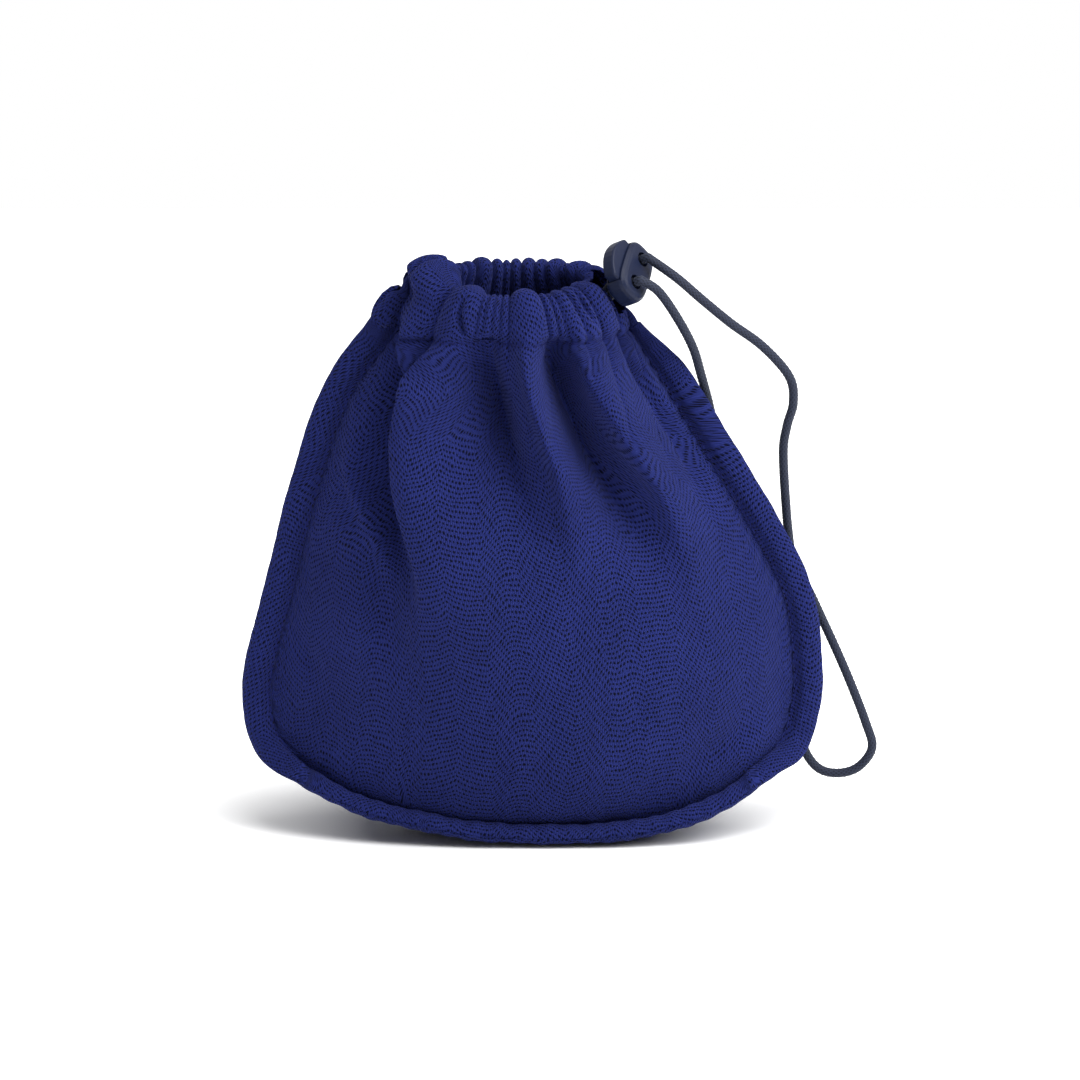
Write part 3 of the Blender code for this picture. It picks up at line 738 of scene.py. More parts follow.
@dataclass(frozen=True)
class SteelFinish:
    """Bright spring wire."""

    colour: tuple[float, float, float] = (0.56, 0.57, 0.58)
    roughness: float = 0.30

    def build(self) -> bpy.types.Material:
        """Makes the material."""
        return Surface("steel_wire", self.colour, {"Roughness": self.roughness, "Metallic": 1.0}).material


@dataclass(frozen=True)
class FloorFinish:
    """Pale matt floor that glows more away from the pouch: painted light that washes out its shadow there and fades
    it into the white background.
    """

    colour: tuple[float, float, float] = (0.92, 0.92, 0.92)
    roughness: float = 0.9
    # fade: the near and far radii of the floor's painted glow.
    fade: tuple[float, float] = (0.05, 0.15)

    def build(self) -> bpy.types.Material:
        """Makes the material."""
        near, far = self.fade
        floor = Surface("floor_white", self.colour, {"Roughness": self.roughness, "Emission Strength": 1.0})
        away = floor.add("VectorMath", {0: floor.add("TexCoord", {}, "Object")}, "Value", operation="LENGTH")
        # The glow is painted light: none within the near radius, full white beyond the far one, so the cast shadow
        # fades out.
        glow = floor.add("MapRange", {"Value": away, "From Min": near, "From Max": far})
        floor.dress({"Emission Color": glow})
        return floor.material


@dataclass(frozen=True)
class Studio:
    """Camera, soft lights, pale floor and white background."""

    lens: float = 218.0
    sensor: float = 36.0
    distance: float = 2.000
    elevation: float = 12.0
    aim: tuple[float, float, float] = (0.0023, -0.0004, 0.0901)
    floor_radius: float = 1.2
    ambient: float = 0.15

    def camera(self) -> None:
        """Sets the camera at the photograph's angle."""
        data = bpy.data.cameras.new("camera")
        data.lens = self.lens
        data.sensor_width = self.sensor
        data.clip_start = 0.01
        data.clip_end = 20.0
        camera = bpy.data.objects.new("camera", data)
        tilt = math.radians(self.elevation)
        back = Vector((0.0, -math.cos(tilt), math.sin(tilt)))
        camera.location = Vector(self.aim) + back * self.distance
        camera.rotation_euler = (math.pi / 2 - tilt, 0.0, 0.0)
        bpy.context.scene.collection.objects.link(camera)
        bpy.context.scene.camera = camera
        LOG.info("camera set %.3f m away", self.distance)

    def light(self, name: str, place: tuple, size: float, watts: float, target: tuple = (0.0, 0.0, 0.09)) -> None:
        """Adds a square soft light.

        Args:
            name: its name.
            place: where it stands.
            size: its side.
            watts: its power.
            target: what it faces.
        """
        data = bpy.data.lights.new(name, "AREA")
        data.size = size
        data.energy = watts
        lamp = bpy.data.objects.new(name, data)
        lamp.location = place
        lamp.rotation_euler = (Vector(target) - Vector(place)).to_track_quat("-Z", "Y").to_euler()
        bpy.context.scene.collection.objects.link(lamp)

    def background(self) -> None:
        """White for what the camera sees, softer for the light it gives."""
        world = bpy.data.worlds.new("white")
        bpy.context.scene.world = world
        world.use_nodes = True
        tree = world.node_tree
        base = tree.nodes["Background"]
        base.inputs["Color"].default_value = (1.0, 1.0, 1.0, 1.0)
        base.inputs["Strength"].default_value = self.ambient
        seen = tree.nodes.new("ShaderNodeBackground")
        seen.inputs["Color"].default_value = (1.0, 1.0, 1.0, 1.0)
        seen.inputs["Strength"].default_value = 1.0
        path = tree.nodes.new("ShaderNodeLightPath")
        share = path.outputs["Is Camera Ray"]
        for label in ("Is Glossy Ray", "Is Transmission Ray"):
            either = tree.nodes.new("ShaderNodeMath")
            either.operation = "MAXIMUM"
            tree.links.new(share, either.inputs[0])
            tree.links.new(path.outputs[label], either.inputs[1])
            share = either.outputs[0]
        mix = tree.nodes.new("ShaderNodeMixShader")
        tree.links.new(share, mix.inputs[0])
        tree.links.new(base.outputs[0], mix.inputs[1])
        tree.links.new(seen.outputs[0], mix.inputs[2])
        tree.links.new(mix.outputs[0], tree.nodes["World Output"].inputs["Surface"])
        bpy.context.scene.view_settings.view_transform = "Standard"

    def floor(self, finish: FloorFinish) -> None:
        """Lays the floor."""
        radius = self.floor_radius
        data = bpy.data.meshes.new("floor")
        corners = [(-radius, -radius, 0), (radius, -radius, 0), (radius, radius, 0), (-radius, radius, 0)]
        data.from_pydata(corners, [], [(0, 1, 2, 3)])
        data.materials.append(finish.build())
        floor = bpy.data.objects.new("floor", data)
        bpy.context.scene.collection.objects.link(floor)
        LOG.info("floor and background laid")


@dataclass(frozen=True)
class CordLock:
    """The two-hole lock's frame, measured as in the part."""

    length: float = 0.0200
    height: float = 0.0125
    thickness: float = 0.0075
    hole_pitch: float = 0.0094
    exit_axis: tuple[float, float, float] = (0.760, -0.527, 0.377)
    long_axis: tuple[float, float, float] = (0.230, 0.768, 0.604)
    from_mouth: tuple[float, float, float] = (0.0084, -0.0064, 0.0011)
    spring_foot: float = -0.00485
    spring_pressed: float = 0.64

    def matrix(self, form: PouchForm) -> Matrix:
        """The lock's place: local X along its length, local Y the button's way, local Z the cords' way."""
        out = Vector(self.exit_axis).normalized()
        long = Vector(self.long_axis)
        long = (long - long.dot(out) * out).normalized()
        turn = Matrix((long, out.cross(long), out)).transposed().to_4x4()
        end = Vector((form.mouth_centre + form.mouth_width / 2, 0.0, form.rim_height))
        return Matrix.Translation(end + Vector(self.from_mouth) + Vector(POUCH_PLACE)) @ turn

    def dress(
        self, form: PouchForm, plastic: bpy.types.Material, button: bpy.types.Material, steel: bpy.types.Material
    ) -> None:
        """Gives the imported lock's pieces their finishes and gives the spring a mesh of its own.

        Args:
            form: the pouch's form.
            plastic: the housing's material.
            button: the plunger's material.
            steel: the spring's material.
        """
        for name, material in (("lock_housing", plastic), ("lock_plunger", button), ("lock_spring", steel)):
            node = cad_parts[name]
            node.data.materials.clear()
            node.data.materials.append(material)
        place = self.matrix(form)
        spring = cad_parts["lock_spring"]
        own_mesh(spring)
        LOG.info("lock dressed")


@dataclass(frozen=True)
class Drawcord:
    """The cord: a loop from one hole of the lock to the other, and the stretch held in the casing."""

    diameter: float = 0.0028
    step: float = 0.00022
    pitch: float = 0.0016
    relief: float = 0.00010
    carriers: int = 8
    sides: int = 40
    lead_out: float = 0.0020
    straight: float = 0.0085
    end_gap: float = 0.0003
    turn: float = 0.88
    approach: float = 0.93
    ring_steps: int = 14
    rise: float = 0.52

    LOOP = (
        (0.0370, -0.0120, 0.1692), (0.0428, -0.0085, 0.1604), (0.0476, -0.0030, 0.1505), (0.0501, 0.0022, 0.1417),
        (0.0525, 0.0060, 0.1325), (0.0556, 0.0085, 0.1195), (0.0595, 0.0090, 0.1100), (0.0647, 0.0090, 0.1006),
        (0.0703, 0.0090, 0.0912), (0.0764, 0.0092, 0.0827), (0.0823, 0.0095, 0.0752), (0.0890, 0.0100, 0.0613),
        (0.0960, 0.0106, 0.0455), (0.1020, 0.0112, 0.0300), (0.1040, 0.0116, 0.0218), (0.0996, 0.0120, 0.0155),
        (0.0930, 0.0124, 0.0136), (0.0870, 0.0128, 0.0155), (0.0828, 0.0130, 0.0222), (0.0812, 0.0130, 0.0340),
        (0.0806, 0.0130, 0.0500), (0.0798, 0.0130, 0.0680), (0.0784, 0.0128, 0.0830), (0.0770, 0.0120, 0.0960),
        (0.0758, 0.0105, 0.1150), (0.0768, 0.0085, 0.1240), (0.0786, 0.0070, 0.1316), (0.0772, 0.0050, 0.1400),
        (0.0690, 0.0010, 0.1500), (0.0590, -0.0030, 0.1580), (0.0500, -0.0065, 0.1660), (0.0425, -0.0085, 0.1728),
    )

    def line(self, points: list[np.ndarray]) -> np.ndarray:
        """Evenly spaced points on the cord's smooth line, with straight ends.

        Args:
            points: the route.
        Returns:
            The centreline's points.
        """
        curve = SmoothCurve(np.array(points[1:-1]))
        inner = curve(np.linspace(0.0, 1.0, round(curve.length / self.step) + 1))
        ends = []
        for start, end in ((points[0], inner[0]), (points[-1], inner[-1])):
            count = max(2, round(np.linalg.norm(end - start) / self.step))
            ends.append(np.linspace(start, end, count, endpoint=False))
        return np.concatenate([ends[0], inner, ends[1][::-1]])

    def loop_route(self, lock: CordLock, place: Matrix) -> list[np.ndarray]:
        """Route of the free loop from the lower hole to the upper one."""
        face = lock.thickness / 2
        half = lock.hole_pitch / 2
        start = [np.array(place @ Vector((-half, 0.0, face + out))) for out in (0.0, self.lead_out)]
        end = [np.array(place @ Vector((half, 0.0, face + out))) for out in (self.lead_out, 0.0)]
        return start + [np.array(point) + POUCH_PLACE for point in self.LOOP] + end

    def ring_route(self, form: PouchForm, lock: CordLock, place: Matrix) -> list[np.ndarray]:
        """Route of the held cord: out of the lower hole, round inside the casing and into the upper hole."""
        inner_end = lock.thickness / 2 - self.end_gap
        inset = (form.casing_depth - form.casing_bulge) / 2
        width = (form.mouth_width + form.gather_width) / 2 - 2 * inset
        depth = (form.mouth_depth + form.gather_depth) / 2 - 2 * inset
        centre = (form.mouth_centre + form.gather_centre) / 2
        height = form.stitch_height + self.rise * form.casing_height

        def from_lock(hole: int, back: float) -> np.ndarray:
            """Returns a point on a hole's axis."""
            return np.array(place @ Vector((hole * lock.hole_pitch / 2, 0.0, inner_end - back)))

        def around(share: float, side: Side) -> np.ndarray:
            """Returns a point of the ring inside the casing."""
            return form.ring(np.array(share), side, centre, width, depth, height) + POUCH_PLACE

        halves = []
        for hole, side in ((-1, Side.FRONT), (1, Side.BACK)):
            outside = from_lock(hole, self.straight)
            half = [from_lock(hole, 0.0), outside, (outside + around(self.approach, side)) / 2]
            half += [around(self.turn * step / self.ring_steps, side) for step in range(self.ring_steps, 0, -1)]
            halves.append(half)
        return halves[0] + [around(0.0, Side.FRONT)] + halves[1][::-1]

    def build(self, form: PouchForm, lock: CordLock, braid: bpy.types.Material) -> np.ndarray:
        """Makes the loop and the held cord.

        Args:
            form: the pouch's form.
            lock: the lock that holds the cord.
            braid: the cord's material.
        Returns:
            The held cord's line.
        """
        place = lock.matrix(form)
        for name, route, body, node in (
            ("drawcord_loop_braid", self.loop_route(lock, place), "cord_lock", "drawcord_loop"),
            ("drawcord_braid", self.ring_route(form, lock, place), "root", "drawcord"),
        ):
            line = self.line(route)
            draft = MeshDraft()
            radius = np.full(len(line), self.diameter / 2)
            tube(draft, line, radius, self.sides, self.relief, self.pitch, self.carriers)
            cord = draft.build(name, braid)
            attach(cord, body)
            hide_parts(node)
            length = float(np.linalg.norm(np.diff(line, axis=0), axis=1).sum())
            node == "drawcord_loop"
            LOG.info("%s is %.3f m long", name, length)
        return line


@dataclass(frozen=True)
class Stitching:
    """A row of thread stitches that lie on the cloth and dip into it at their ends."""

    pitch: float = 0.0027
    length: float = 0.0021
    radius: float = 0.00019
    dip: float = 0.00035
    points: int = 7
    sides: int = 6

    def sew(self, draft: MeshDraft, line: np.ndarray, out: np.ndarray) -> None:
        """Sews along a line.

        Args:
            draft: where the stitches go.
            line: the line's points on the cloth.
            out: the ways out of the cloth at those points.
        """
        steps = np.linalg.norm(np.diff(line, axis=0), axis=1)
        lengths = np.concatenate([[0.0], np.cumsum(steps)])
        rise = np.sin(np.pi * np.linspace(0.0, 1.0, self.points)) ** 0.7
        lift = ((self.radius + self.dip) * rise - self.dip)[:, None]
        for start in np.arange(self.pitch / 2, lengths[-1] - self.pitch, self.pitch):
            place = start + np.linspace(0.0, self.length, self.points)
            middle = np.stack([np.interp(place, lengths, axis) for axis in line.T], axis=-1)
            way = np.stack([np.interp(place, lengths, axis) for axis in out.T], axis=-1)
            tube(draft, middle + way * lift, np.full(self.points, self.radius), self.sides)


@dataclass(frozen=True)
class ClothPanel:
    """One cloth panel: hem, casing, body and its half of the flange, gathered and folded."""

    form: PouchForm
    side: Side
    creases: tuple[float, ...]
    folds: tuple[Fold, ...]
    ear: tuple[tuple[float, float], ...]
    rim_shift: float
    exit_across: float
    seed: int
    cloth: float = 0.0010
    panel_gap: float = 0.0005
    columns: int = 340
    body_rows: int = 196
    casing_rows: int = 44
    gather_height: float = 0.0042
    gather_fade: float = 0.05
    flange_width: float = 0.0090
    flange_puff: float = 0.0027
    ear_roll: float = 0.0028
    ear_lean: float = 0.15
    exit_level: float = 0.45
    hem_gap: float = 0.00005
    floor_gap: float = 0.0002
    stitch_dent: float = 0.0010
    wrinkle_height: float = 0.0058
    pull_height: float = 0.00045
    pulls_down: int = 31
    pulls_across: int = 44
    flange_steps: int = 24
    ripple: float = 0.0067
    slow_ripple: float = 0.021
    thread_inset: float = 0.0007
    thread_sink: float = 0.0001
    flat_margin: float = 0.4

    WRINKLES = (0.046, 0.034, 0.027, 0.021, 0.016, 0.012, 0.009, 0.007)
    CASING = (
        (-0.0016, 0.0009), (-0.0054, 0.0055), (-0.0067, 0.0120), (-0.0056, 0.0157), (-0.0025, 0.0170),
        (0.0004, 0.0158), (0.0019, 0.0120), (0.0019, 0.0070), (0.0010, 0.0025), (-0.0004, 0.0),
    )
    FLANGE = (
        (0.00, 0.00), (0.06, -0.06), (0.16, 0.24), (0.34, 0.92), (0.58, 1.00), (0.80, 0.74), (0.94, 0.22),
        (1.00, -0.28), (0.94, -0.46), (0.80, -0.46),
    )

    def across(self) -> np.ndarray:
        """Shares across of the grid's columns, closer together towards both side seams."""
        t = np.linspace(0.0, 1.0, self.columns + 1)
        return t - 0.50 * np.sin(2 * np.pi * t) / (2 * np.pi)

    def down(self) -> np.ndarray:
        """Shares down of the body's rows, closer together towards the bottom seam."""
        return 1 - (1 - np.linspace(0.0, 1.0, self.body_rows + 1)) ** 1.25

    def gathers(self, across: np.ndarray) -> tuple[np.ndarray, np.ndarray]:
        """The puffs between creases.

        Args:
            across: shares across.
        Returns:
            Each column's height from about -0.4 to 1, and its puff's width as a share.
        """
        edges = np.array(self.creases)
        index = np.clip(np.searchsorted(edges, across, side="right") - 1, 0, len(edges) - 2)
        low, high = edges[index], edges[index + 1]
        t = (across - low) / (high - low)
        width = high - low
        size = np.clip((width / 0.14) ** 0.60, 0.30, 1.0)
        ends = np.clip(np.minimum(across, 1 - across) * 12 + 0.1, 0.0, 1.0)
        return (size * ((4 * t * (1 - t)) ** 0.55) - 0.38) * ends, width

    def wrinkles(self, points: np.ndarray) -> np.ndarray:
        """Slight unevenness of the cloth, in metres, from waves in several directions."""
        luck = np.random.default_rng(self.seed)
        total = np.zeros(points.shape[:-1])
        for wave in self.WRINKLES:
            for _ in range(3):
                way = unit(luck.normal(size=3))
                total += np.sin(points @ way * (2 * np.pi / wave) + luck.uniform(0, 6.28)) * wave**1.1
        return total * self.wrinkle_height

    def casing(self, across: np.ndarray) -> tuple[np.ndarray, np.ndarray]:
        """The casing from the hem's free edge up inside, over the rim and down to the stitch line.

        Args:
            across: shares across, for each column.
        Returns:
            Points by column and row, and each row's share of the casing's height.
        """
        form, side = self.form, self.side
        puff, _ = self.gathers(across)
        share = np.linspace(0.0, 1.0, self.casing_rows + 1)[:-1]
        offset, rise = SmoothCurve(np.array(self.CASING))(share).T
        level = rise / form.casing_height
        inside = 1 - smoothstep(0.42, 0.56, share)
        out = form.outward(across, side)[:, None]
        low = form.gather_ring(across, side)[:, None]
        high = form.rim_ring(across, side)[:, None]
        wall = low + (high - low) * level[None, :, None]
        swing = 1 - 1.9 * inside
        bend = self.gather_height * puff[:, None] * swing[None] * (0.70 + 0.30 * level[None])
        fold = self.fold_height(across, -0.1 * level) * (1 - inside)[None]
        ear = SmoothCurve(np.array(self.ear)).column(across)
        roll = 0.6 * np.exp(-(((level - 0.84) / 0.12) ** 2)) - np.exp(-(((level - 0.56) / 0.10) ** 2))
        roll = self.ear_roll * (ear / ear.max()) * (roll * (1 - inside))[None]
        casing = wall + out * (offset[None] + bend + fold + roll)[..., None]
        lift = ear * smoothstep(0.30, 0.80, level)[None]
        casing[..., 2] += lift
        casing += out * (self.ear_lean * lift * (1 - inside)[None])[..., None]
        casing[..., 2] += self.rim_shift * np.sin(np.pi * across[:, None]) ** 0.7 * level[None]
        crest = np.exp(-(((share - 0.5) / 0.16) ** 2))
        casing[..., 2] += (0.85 * self.gather_height * puff[:, None] - 0.0007) * crest[None]
        return casing, level

    def body(self, across: np.ndarray) -> np.ndarray:
        """The body's cloth from the stitch line to the bottom seam, by column and row."""
        form, side, down = self.form, self.side, self.down()
        puff, width = self.gathers(across)
        body = form.body(across, down, side)
        east = np.gradient(body, axis=0)
        normal = unit(np.cross(east, np.gradient(body, axis=1))) * side.value
        turn = smoothstep(0.0, 0.10, down)[None, :, None]
        normal = unit(normal * turn + form.outward(across, side)[:, None] * (1 - turn))
        fade = np.exp(-down[None] / (self.gather_fade + 0.9 * width[:, None]))
        fade *= 1 - smoothstep(0.35, 0.55, down)[None]
        from_side = np.minimum(across, 1 - across)[:, None]
        seam_fade = np.clip(from_side * 10, 0.0, 1.0)
        height = self.gather_height * 0.70 * puff[:, None] * fade
        height += self.fold_height(across, down) * seam_fade
        height -= self.stitch_dent * np.exp(-((down / 0.007) ** 2))[None]
        edge = smoothstep(0.0, 0.03, from_side) * smoothstep(0.0, 0.03, 1 - down)[None]
        height += self.wrinkles(body) * edge
        pulls = np.sin(2 * np.pi * self.pulls_down * down + 2 * np.sin(19 * down))[None] * np.exp(-from_side / 0.020)
        pulls = pulls + np.sin(2 * np.pi * self.pulls_across * across)[:, None] * np.exp(-(1 - down) / 0.022)[None]
        pulls = self.pull_height * pulls * np.minimum(from_side / 0.004, 1)
        height += pulls * np.minimum((1 - down) / 0.006, 1)[None]
        lean = sum(fold.lean * fold.height(across, down) for fold in self.folds if fold.lean) * seam_fade
        return body + normal * height[..., None] + unit(east) * np.asarray(lean)[..., None]

    def fold_height(self, across: np.ndarray, down: np.ndarray) -> np.ndarray:
        """Sum of the folds' heights by column and row."""
        total = np.zeros((len(across), len(down)))
        for fold in self.folds:
            total += fold.height(across, down)
        return total

    def flat_map(self, grid: np.ndarray, stitch_row: int) -> np.ndarray:
        """Places on the flat cloth, in metres, from the lengths along the grid's lines.

        Args:
            grid: points by column and row.
            stitch_row: the row whose place down is zero.
        Returns:
            Two numbers by column and row.
        """
        wide = np.linalg.norm(np.diff(grid, axis=0), axis=-1)
        tall = np.linalg.norm(np.diff(grid, axis=1), axis=-1)
        u = np.concatenate([np.zeros((1, grid.shape[1])), np.cumsum(wide, axis=0)])
        v = np.concatenate([np.zeros((grid.shape[0], 1)), np.cumsum(tall, axis=1)], axis=1)
        middle = grid.shape[0] // 2
        return np.stack([u - u[middle], v - v[:, stitch_row : stitch_row + 1]], axis=-1) + self.flat_margin

    @staticmethod
    def flange_frames(seam: np.ndarray) -> tuple[np.ndarray, np.ndarray]:
        """Outward and frontward directions of the flange along the seam line.

        Args:
            seam: the seam's points.
        Returns:
            Both directions at each point.
        """
        tangent = unit(np.gradient(seam, axis=0))
        flat = unit(tangent * [1.0, 0.0, 1.0])
        outward = np.stack([flat[:, 2], np.zeros(len(flat)), -flat[:, 0]], axis=-1)
        down = smoothstep(0.35, 0.95, -outward[:, 2])[:, None]
        outward = unit(outward * (1 - down) + np.array([0.0, -1.0, -0.16]) * down)
        return outward, unit(np.cross(outward, tangent))

    def flange(self, seam: np.ndarray, outward: np.ndarray, front: np.ndarray) -> tuple[np.ndarray, np.ndarray]:
        """The puffed edge outside the seam, round its fold and back.

        Args:
            seam: the seam's points.
            outward: the ways out of the pouch at them.
            front: the ways to the front at them.
        Returns:
            Points by place along the seam and across the flange, and the cloth's length out to each.
        """
        half_seam = (self.cloth + self.panel_gap) / 2
        share, lift = SmoothCurve(np.array(self.FLANGE))(np.linspace(0.0, 1.0, self.flange_steps)[1:]).T
        reach = share * self.flange_width
        lift = lift * (self.flange_puff - half_seam)
        run = np.concatenate([[0.0], np.cumsum(np.linalg.norm(np.diff(seam, axis=0), axis=1))])
        left, right = run, run[-1] - run
        narrow = np.minimum(0.12 + 0.88 * smoothstep(0.004, 0.022, left), 0.30 + 0.70 * smoothstep(0.0, 0.030, right))
        narrow = narrow * np.sqrt(np.clip(np.minimum(left, right) / 0.006, 0.02, 1.0))
        wave = np.sin(run / self.ripple * 2 * np.pi + 1.5 * np.sin(run * 90))
        slow = np.sin(run / self.slow_ripple * 2 * np.pi + 2.0 * np.sin(run * 31))
        narrow = narrow * (1 + 0.006 * wave + 0.010 * slow)
        puffed = lift[None] * (1 + 0.10 * wave + 0.08 * slow)[:, None]
        lift = half_seam + puffed * np.where(puffed > 0, np.minimum(narrow, 1)[:, None], 1.0)
        strip = seam[:, None] + outward[:, None] * (reach[None] * narrow[:, None])[..., None]
        strip = strip - self.side.value * front[:, None] * lift[..., None]
        strip[..., 2] = np.maximum(strip[..., 2], self.floor_gap)
        away = np.concatenate([[0.0], np.cumsum(np.hypot(np.diff(reach), np.diff(lift[len(lift) // 2])))])
        return strip, away + reach[0]

    def build(self, material: bpy.types.Material, thread: MeshDraft) -> bpy.types.Object:
        """Makes the panel and sews its two seams.

        Args:
            material: the cloth's material.
            thread: where the stitches go.
        Returns:
            The panel's object.
        """
        across, down, side = self.across(), self.down(), self.side.value
        casing, level = self.casing(across)
        grid = np.concatenate([casing, self.body(across)], axis=1)
        grid[..., 2] = np.maximum(grid[..., 2], self.cloth / 2)
        half_seam = (self.cloth + self.panel_gap) / 2
        rim_row, stitch_row = self.casing_rows // 2, casing.shape[1]
        exit_row = rim_row + int(np.argmax(level[rim_row:] < self.exit_level))
        columns, rows = grid.shape[:2]
        left_curve, bottom_curve, right_curve = self.form.seam_curves()

        for column in (0, columns - 1):
            grid[column, : rim_row + 1, 1] = side * self.hem_gap
        upper = grid[:, :stitch_row] * [1.0, 0.0, 1.0]
        seam = [upper[0, rim_row + 1 :], left_curve(down)[:-1], bottom_curve(across)]
        seam = np.concatenate(seam + [right_curve(down)[::-1][1:], upper[-1, exit_row:][::-1]])
        border = [(0, row) for row in range(rim_row + 1, rows)]
        border += [(column, rows - 1) for column in range(1, columns)]
        border += [(columns - 1, row) for row in range(rows - 2, exit_row - 1, -1)]
        outward, front = self.flange_frames(seam)
        at = tuple(np.array(border).T)
        grid[at] = seam - side * front * half_seam
        grid[..., 2] = np.maximum(grid[..., 2], self.cloth / 2)

        flat = self.flat_map(grid, stitch_row)
        draft = MeshDraft()
        numbers = draft.add(grid + POUCH_PLACE, flat)
        first_open = int(np.searchsorted(across, self.exit_across))
        draft.skin(numbers[: first_open + 1], side < 0)
        draft.skin(numbers[first_open:, : rim_row + 1], side < 0)
        draft.skin(numbers[first_open:, exit_row:], side < 0)
        strip, away = self.flange(seam, outward, front)
        step = np.stack([outward[:, 0], -outward[:, 2] - outward[:, 1]], axis=-1)
        strip_numbers = draft.add(strip + POUCH_PLACE, flat[at][:, None] + step[:, None] * away[None, :, None])
        draft.skin(np.concatenate([numbers[at][:, None], strip_numbers], axis=1), side > 0)

        stitching = Stitching()
        ends = slice(8, first_open)
        stitching.sew(thread, grid[ends, stitch_row] + POUCH_PLACE, self.form.outward(across, self.side)[ends])
        sunk = seam + outward * self.thread_inset - side * front * (half_seam - self.thread_sink)
        ends = slice(stitch_row - rim_row + 2, -(stitch_row - exit_row + 2))
        stitching.sew(thread, sunk[ends] + POUCH_PLACE, -side * front[ends])
        return draft.build(f"{self.side.name.lower()}_panel_cloth", material)


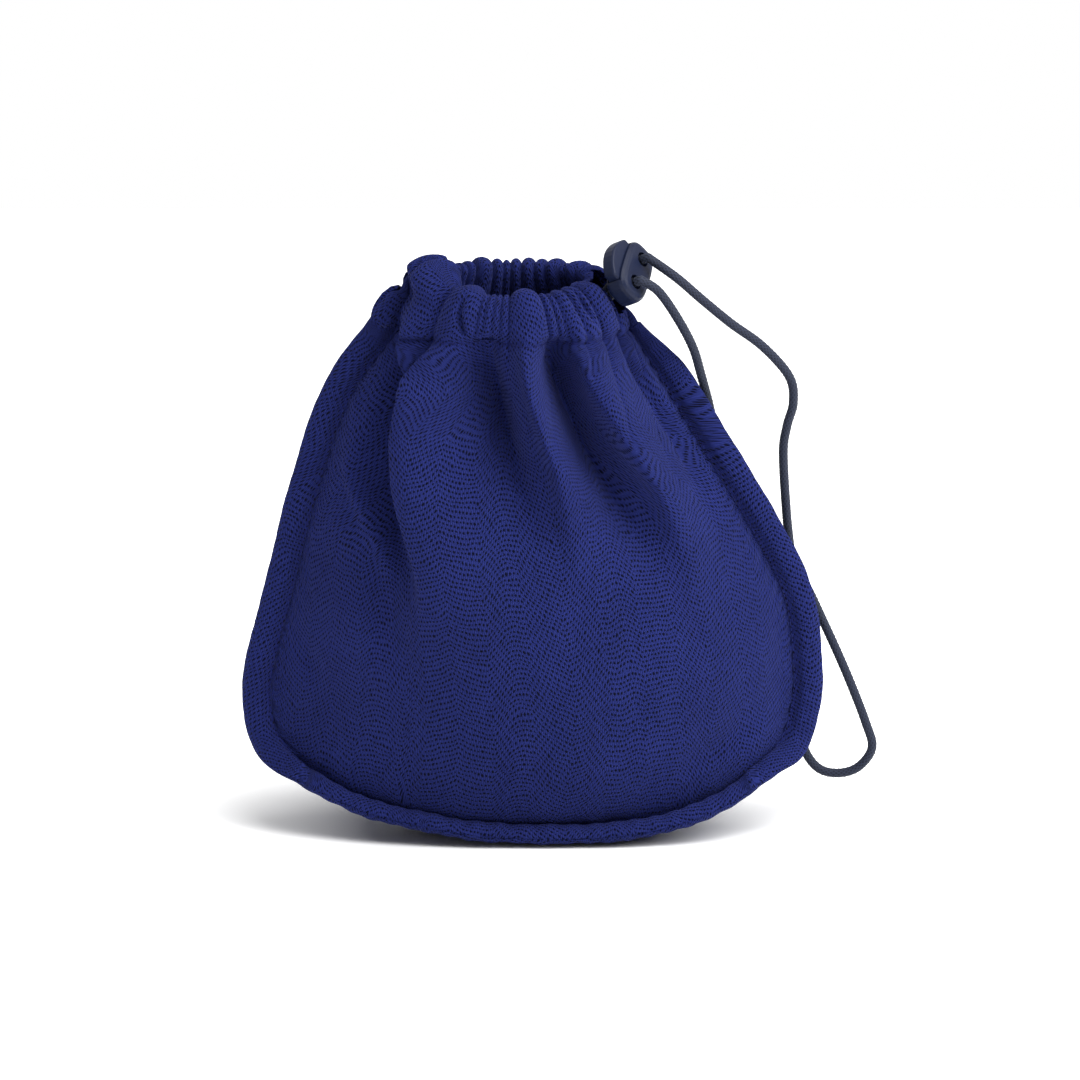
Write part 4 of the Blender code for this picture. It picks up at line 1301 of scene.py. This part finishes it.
FRONT_CREASES = (
    0.0, 0.055, 0.120, 0.255, 0.390, 0.410, 0.436, 0.460, 0.487, 0.600, 0.630, 0.652, 0.705, 0.775, 0.875, 0.940, 1.0,
)
BACK_CREASES = (
    0.0, 0.10, 0.18, 0.25, 0.288, 0.333, 0.412, 0.457, 0.486, 0.530, 0.586, 0.636, 0.709, 0.742, 0.837, 0.93, 1.0,
)
FRONT_EAR = (
    (0.0, 0.0030), (0.04, 0.0062), (0.08, 0.0076), (0.12, 0.0076), (0.16, 0.0060), (0.20, 0.0034), (0.25, 0.0006),
    (0.3, 0.0), (1.0, 0.0),
)
BACK_EAR = ((0.0, 0.0030), (0.04, 0.0028), (0.08, 0.0014), (0.12, 0.0003), (0.16, 0.0), (1.0, 0.0))
FRONT_FOLDS = (
    Fold(
        (
            (-0.05, 0.300, 0.0000, 0.050, 0.100), (0.00, 0.298, 0.0015, 0.035, 0.090),
            (0.03, 0.288, 0.0058, 0.022, 0.080), (0.07, 0.277, 0.0090, 0.015, 0.085),
            (0.12, 0.282, 0.0106, 0.014, 0.090), (0.19, 0.280, 0.0108, 0.014, 0.095),
            (0.27, 0.285, 0.0100, 0.016, 0.110), (0.35, 0.303, 0.0076, 0.022, 0.120),
            (0.43, 0.318, 0.0045, 0.034, 0.130), (0.56, 0.330, 0.0000, 0.060, 0.140),
        ),
        lean=-0.50,
    ),
    Fold(
        (
            (-0.08, 0.150, 0.0010, 0.030, 0.060), (0.00, 0.180, 0.0045, 0.022, 0.050),
            (0.05, 0.216, 0.0048, 0.018, 0.034), (0.12, 0.245, 0.0000, 0.018, 0.030),
        ),
        lean=-0.3,
    ),
    Fold(
        (
            (-0.02, 0.080, -0.0010, 0.040, 0.035), (0.04, 0.120, -0.0080, 0.060, 0.040),
            (0.10, 0.165, -0.0130, 0.075, 0.045), (0.20, 0.185, -0.0140, 0.080, 0.045),
            (0.33, 0.205, -0.0095, 0.080, 0.050), (0.45, 0.230, -0.0045, 0.070, 0.050),
            (0.60, 0.250, 0.0000, 0.060, 0.060),
        ),
        crease=1.7,
    ),
    Fold(
        (
            (0.18, 0.040, 0.0000, 0.030, 0.040), (0.27, 0.072, 0.0020, 0.030, 0.040),
            (0.34, 0.147, 0.0030, 0.035, 0.040), (0.43, 0.228, 0.0025, 0.040, 0.045),
            (0.51, 0.270, 0.0015, 0.040, 0.045), (0.60, 0.330, 0.0000, 0.040, 0.050),
        )
    ),
    Fold(
        (
            (-0.02, 0.430, -0.0005, 0.040, 0.030), (0.03, 0.430, -0.0095, 0.065, 0.032),
            (0.08, 0.455, -0.0155, 0.075, 0.032), (0.13, 0.480, -0.0145, 0.078, 0.032),
            (0.20, 0.508, -0.0092, 0.075, 0.034), (0.34, 0.530, 0.0000, 0.070, 0.040),
        ),
        crease=1.6,
    ),
    Fold(
        (
            (-0.03, 0.540, 0.0005, 0.040, 0.045), (0.02, 0.533, 0.0055, 0.026, 0.045),
            (0.08, 0.548, 0.0082, 0.020, 0.045), (0.14, 0.572, 0.0082, 0.020, 0.050),
            (0.22, 0.600, 0.0064, 0.022, 0.055), (0.31, 0.605, 0.0025, 0.026, 0.060),
            (0.42, 0.610, 0.0000, 0.030, 0.060),
        ),
        lean=-0.2,
    ),
    Fold(
        (
            (-0.01, 0.612, -0.0010, 0.030, 0.025), (0.03, 0.618, -0.0098, 0.045, 0.028),
            (0.10, 0.665, -0.0138, 0.062, 0.028), (0.17, 0.700, -0.0120, 0.068, 0.028),
            (0.25, 0.735, -0.0082, 0.068, 0.030), (0.42, 0.780, 0.0000, 0.068, 0.040),
        ),
        crease=1.6,
    ),
    Fold(
        (
            (-0.06, 0.700, 0.0005, 0.040, 0.060), (0.00, 0.680, 0.0035, 0.030, 0.080),
            (0.03, 0.682, 0.0068, 0.022, 0.080), (0.08, 0.706, 0.0088, 0.018, 0.085),
            (0.14, 0.745, 0.0096, 0.018, 0.085), (0.22, 0.790, 0.0086, 0.020, 0.075),
            (0.29, 0.825, 0.0062, 0.024, 0.065), (0.40, 0.850, 0.0020, 0.034, 0.060),
            (0.52, 0.860, 0.0000, 0.040, 0.060),
        ),
        lean=-0.35,
    ),
    Fold(
        (
            (-0.01, 0.850, -0.0008, 0.030, 0.030), (0.02, 0.865, -0.0020, 0.030, 0.030),
            (0.09, 0.915, -0.0052, 0.030, 0.030), (0.24, 0.950, -0.0036, 0.030, 0.030),
            (0.40, 0.955, 0.0000, 0.030, 0.030),
        )
    ),
    Fold(
        (
            (-0.10, 0.052, -0.0024, 0.016, 0.014), (-0.07, 0.055, -0.0026, 0.016, 0.014),
            (-0.04, 0.06, 0.0, 0.02, 0.02),
        )
    ),
    Fold(((0.61, 0.045, 0.0, 0.04, 0.045), (0.66, 0.045, -0.0025, 0.04, 0.045), (0.71, 0.045, 0.0, 0.04, 0.045))),
    Fold(((0.69, 0.84, 0.0, 0.10, 0.09), (0.755, 0.84, -0.0020, 0.10, 0.09), (0.81, 0.85, 0.0, 0.10, 0.09))),
    Fold(
        (
            (-0.09, 0.340, 0.0000, 0.010, 0.010), (-0.06, 0.335, -0.0025, 0.009, 0.010),
            (-0.03, 0.350, -0.0024, 0.009, 0.010), (-0.01, 0.370, 0.0000, 0.009, 0.010),
        )
    ),
    Fold(
        (
            (-0.10, 0.730, -0.0012, 0.010, 0.010), (-0.06, 0.740, -0.0022, 0.009, 0.009),
            (-0.03, 0.745, 0.0000, 0.009, 0.009),
        )
    ),
)
BACK_FOLDS = (
    Fold(((-0.10, 0.16, 0.0, 0.04, 0.08), (0.10, 0.18, 0.0045, 0.04, 0.08), (0.50, 0.22, 0.0, 0.06, 0.10))),
    Fold(((-0.02, 0.30, 0.0, 0.05, 0.05), (0.10, 0.31, -0.0045, 0.05, 0.05), (0.40, 0.33, 0.0, 0.06, 0.06))),
    Fold(((-0.05, 0.45, 0.0, 0.05, 0.05), (0.12, 0.44, 0.0042, 0.05, 0.05), (0.55, 0.43, 0.0, 0.07, 0.07))),
    Fold(((-0.02, 0.60, 0.0, 0.04, 0.04), (0.10, 0.61, -0.0045, 0.05, 0.05), (0.42, 0.62, 0.0, 0.06, 0.06))),
    Fold(((-0.10, 0.78, 0.0, 0.07, 0.04), (0.12, 0.77, 0.0048, 0.07, 0.04), (0.55, 0.74, 0.0, 0.09, 0.06))),
)


def main() -> None:
    """Builds the pouch's looks in order and reports each piece."""
    logging.basicConfig(level=logging.INFO, format="%(name)s: %(message)s")
    studio = Studio()
    studio.camera()

    knit = KnitFinish().build(knit_mesh_group())
    braid = BraidFinish().build(braid_group())
    grain = moulded_group()
    form = PouchForm()
    lock = CordLock()
    Drawcord().build(form, lock, braid)
    button = PlasticFinish(name="plastic_button").build(grain)
    lock.dress(form, PlasticFinish().build(grain), button, SteelFinish().build())

    thread = MeshDraft()
    for panel, node in (
        (ClothPanel(form, Side.FRONT, FRONT_CREASES, FRONT_FOLDS, FRONT_EAR, -0.0019, 0.885, 3), "front_panel"),
        (ClothPanel(form, Side.BACK, BACK_CREASES, BACK_FOLDS, BACK_EAR, 0.0016, 0.915, 5), "back_panel"),
    ):
        cloth = panel.build(knit, thread)
        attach(cloth, "root")
        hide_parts(node)
        LOG.info("%s made, %d vertices", cloth.name, len(cloth.data.vertices))
    stitches = thread.build("seam_stitches", ThreadFinish().build())
    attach(stitches, "root")
    LOG.info("%s sewn, %d vertices", stitches.name, len(stitches.data.vertices))

    studio.light("key", (0.95, -0.44, 0.92), 1.05, 20.0)
    studio.light("fill", (-0.9, -0.9, 0.55), 1.0, 0.6)
    studio.light("top", (0.16, -0.36, 1.15), 0.8, 11.5)
    studio.background()
    studio.floor(FloorFinish())


if __name__ == "__main__":
    main()
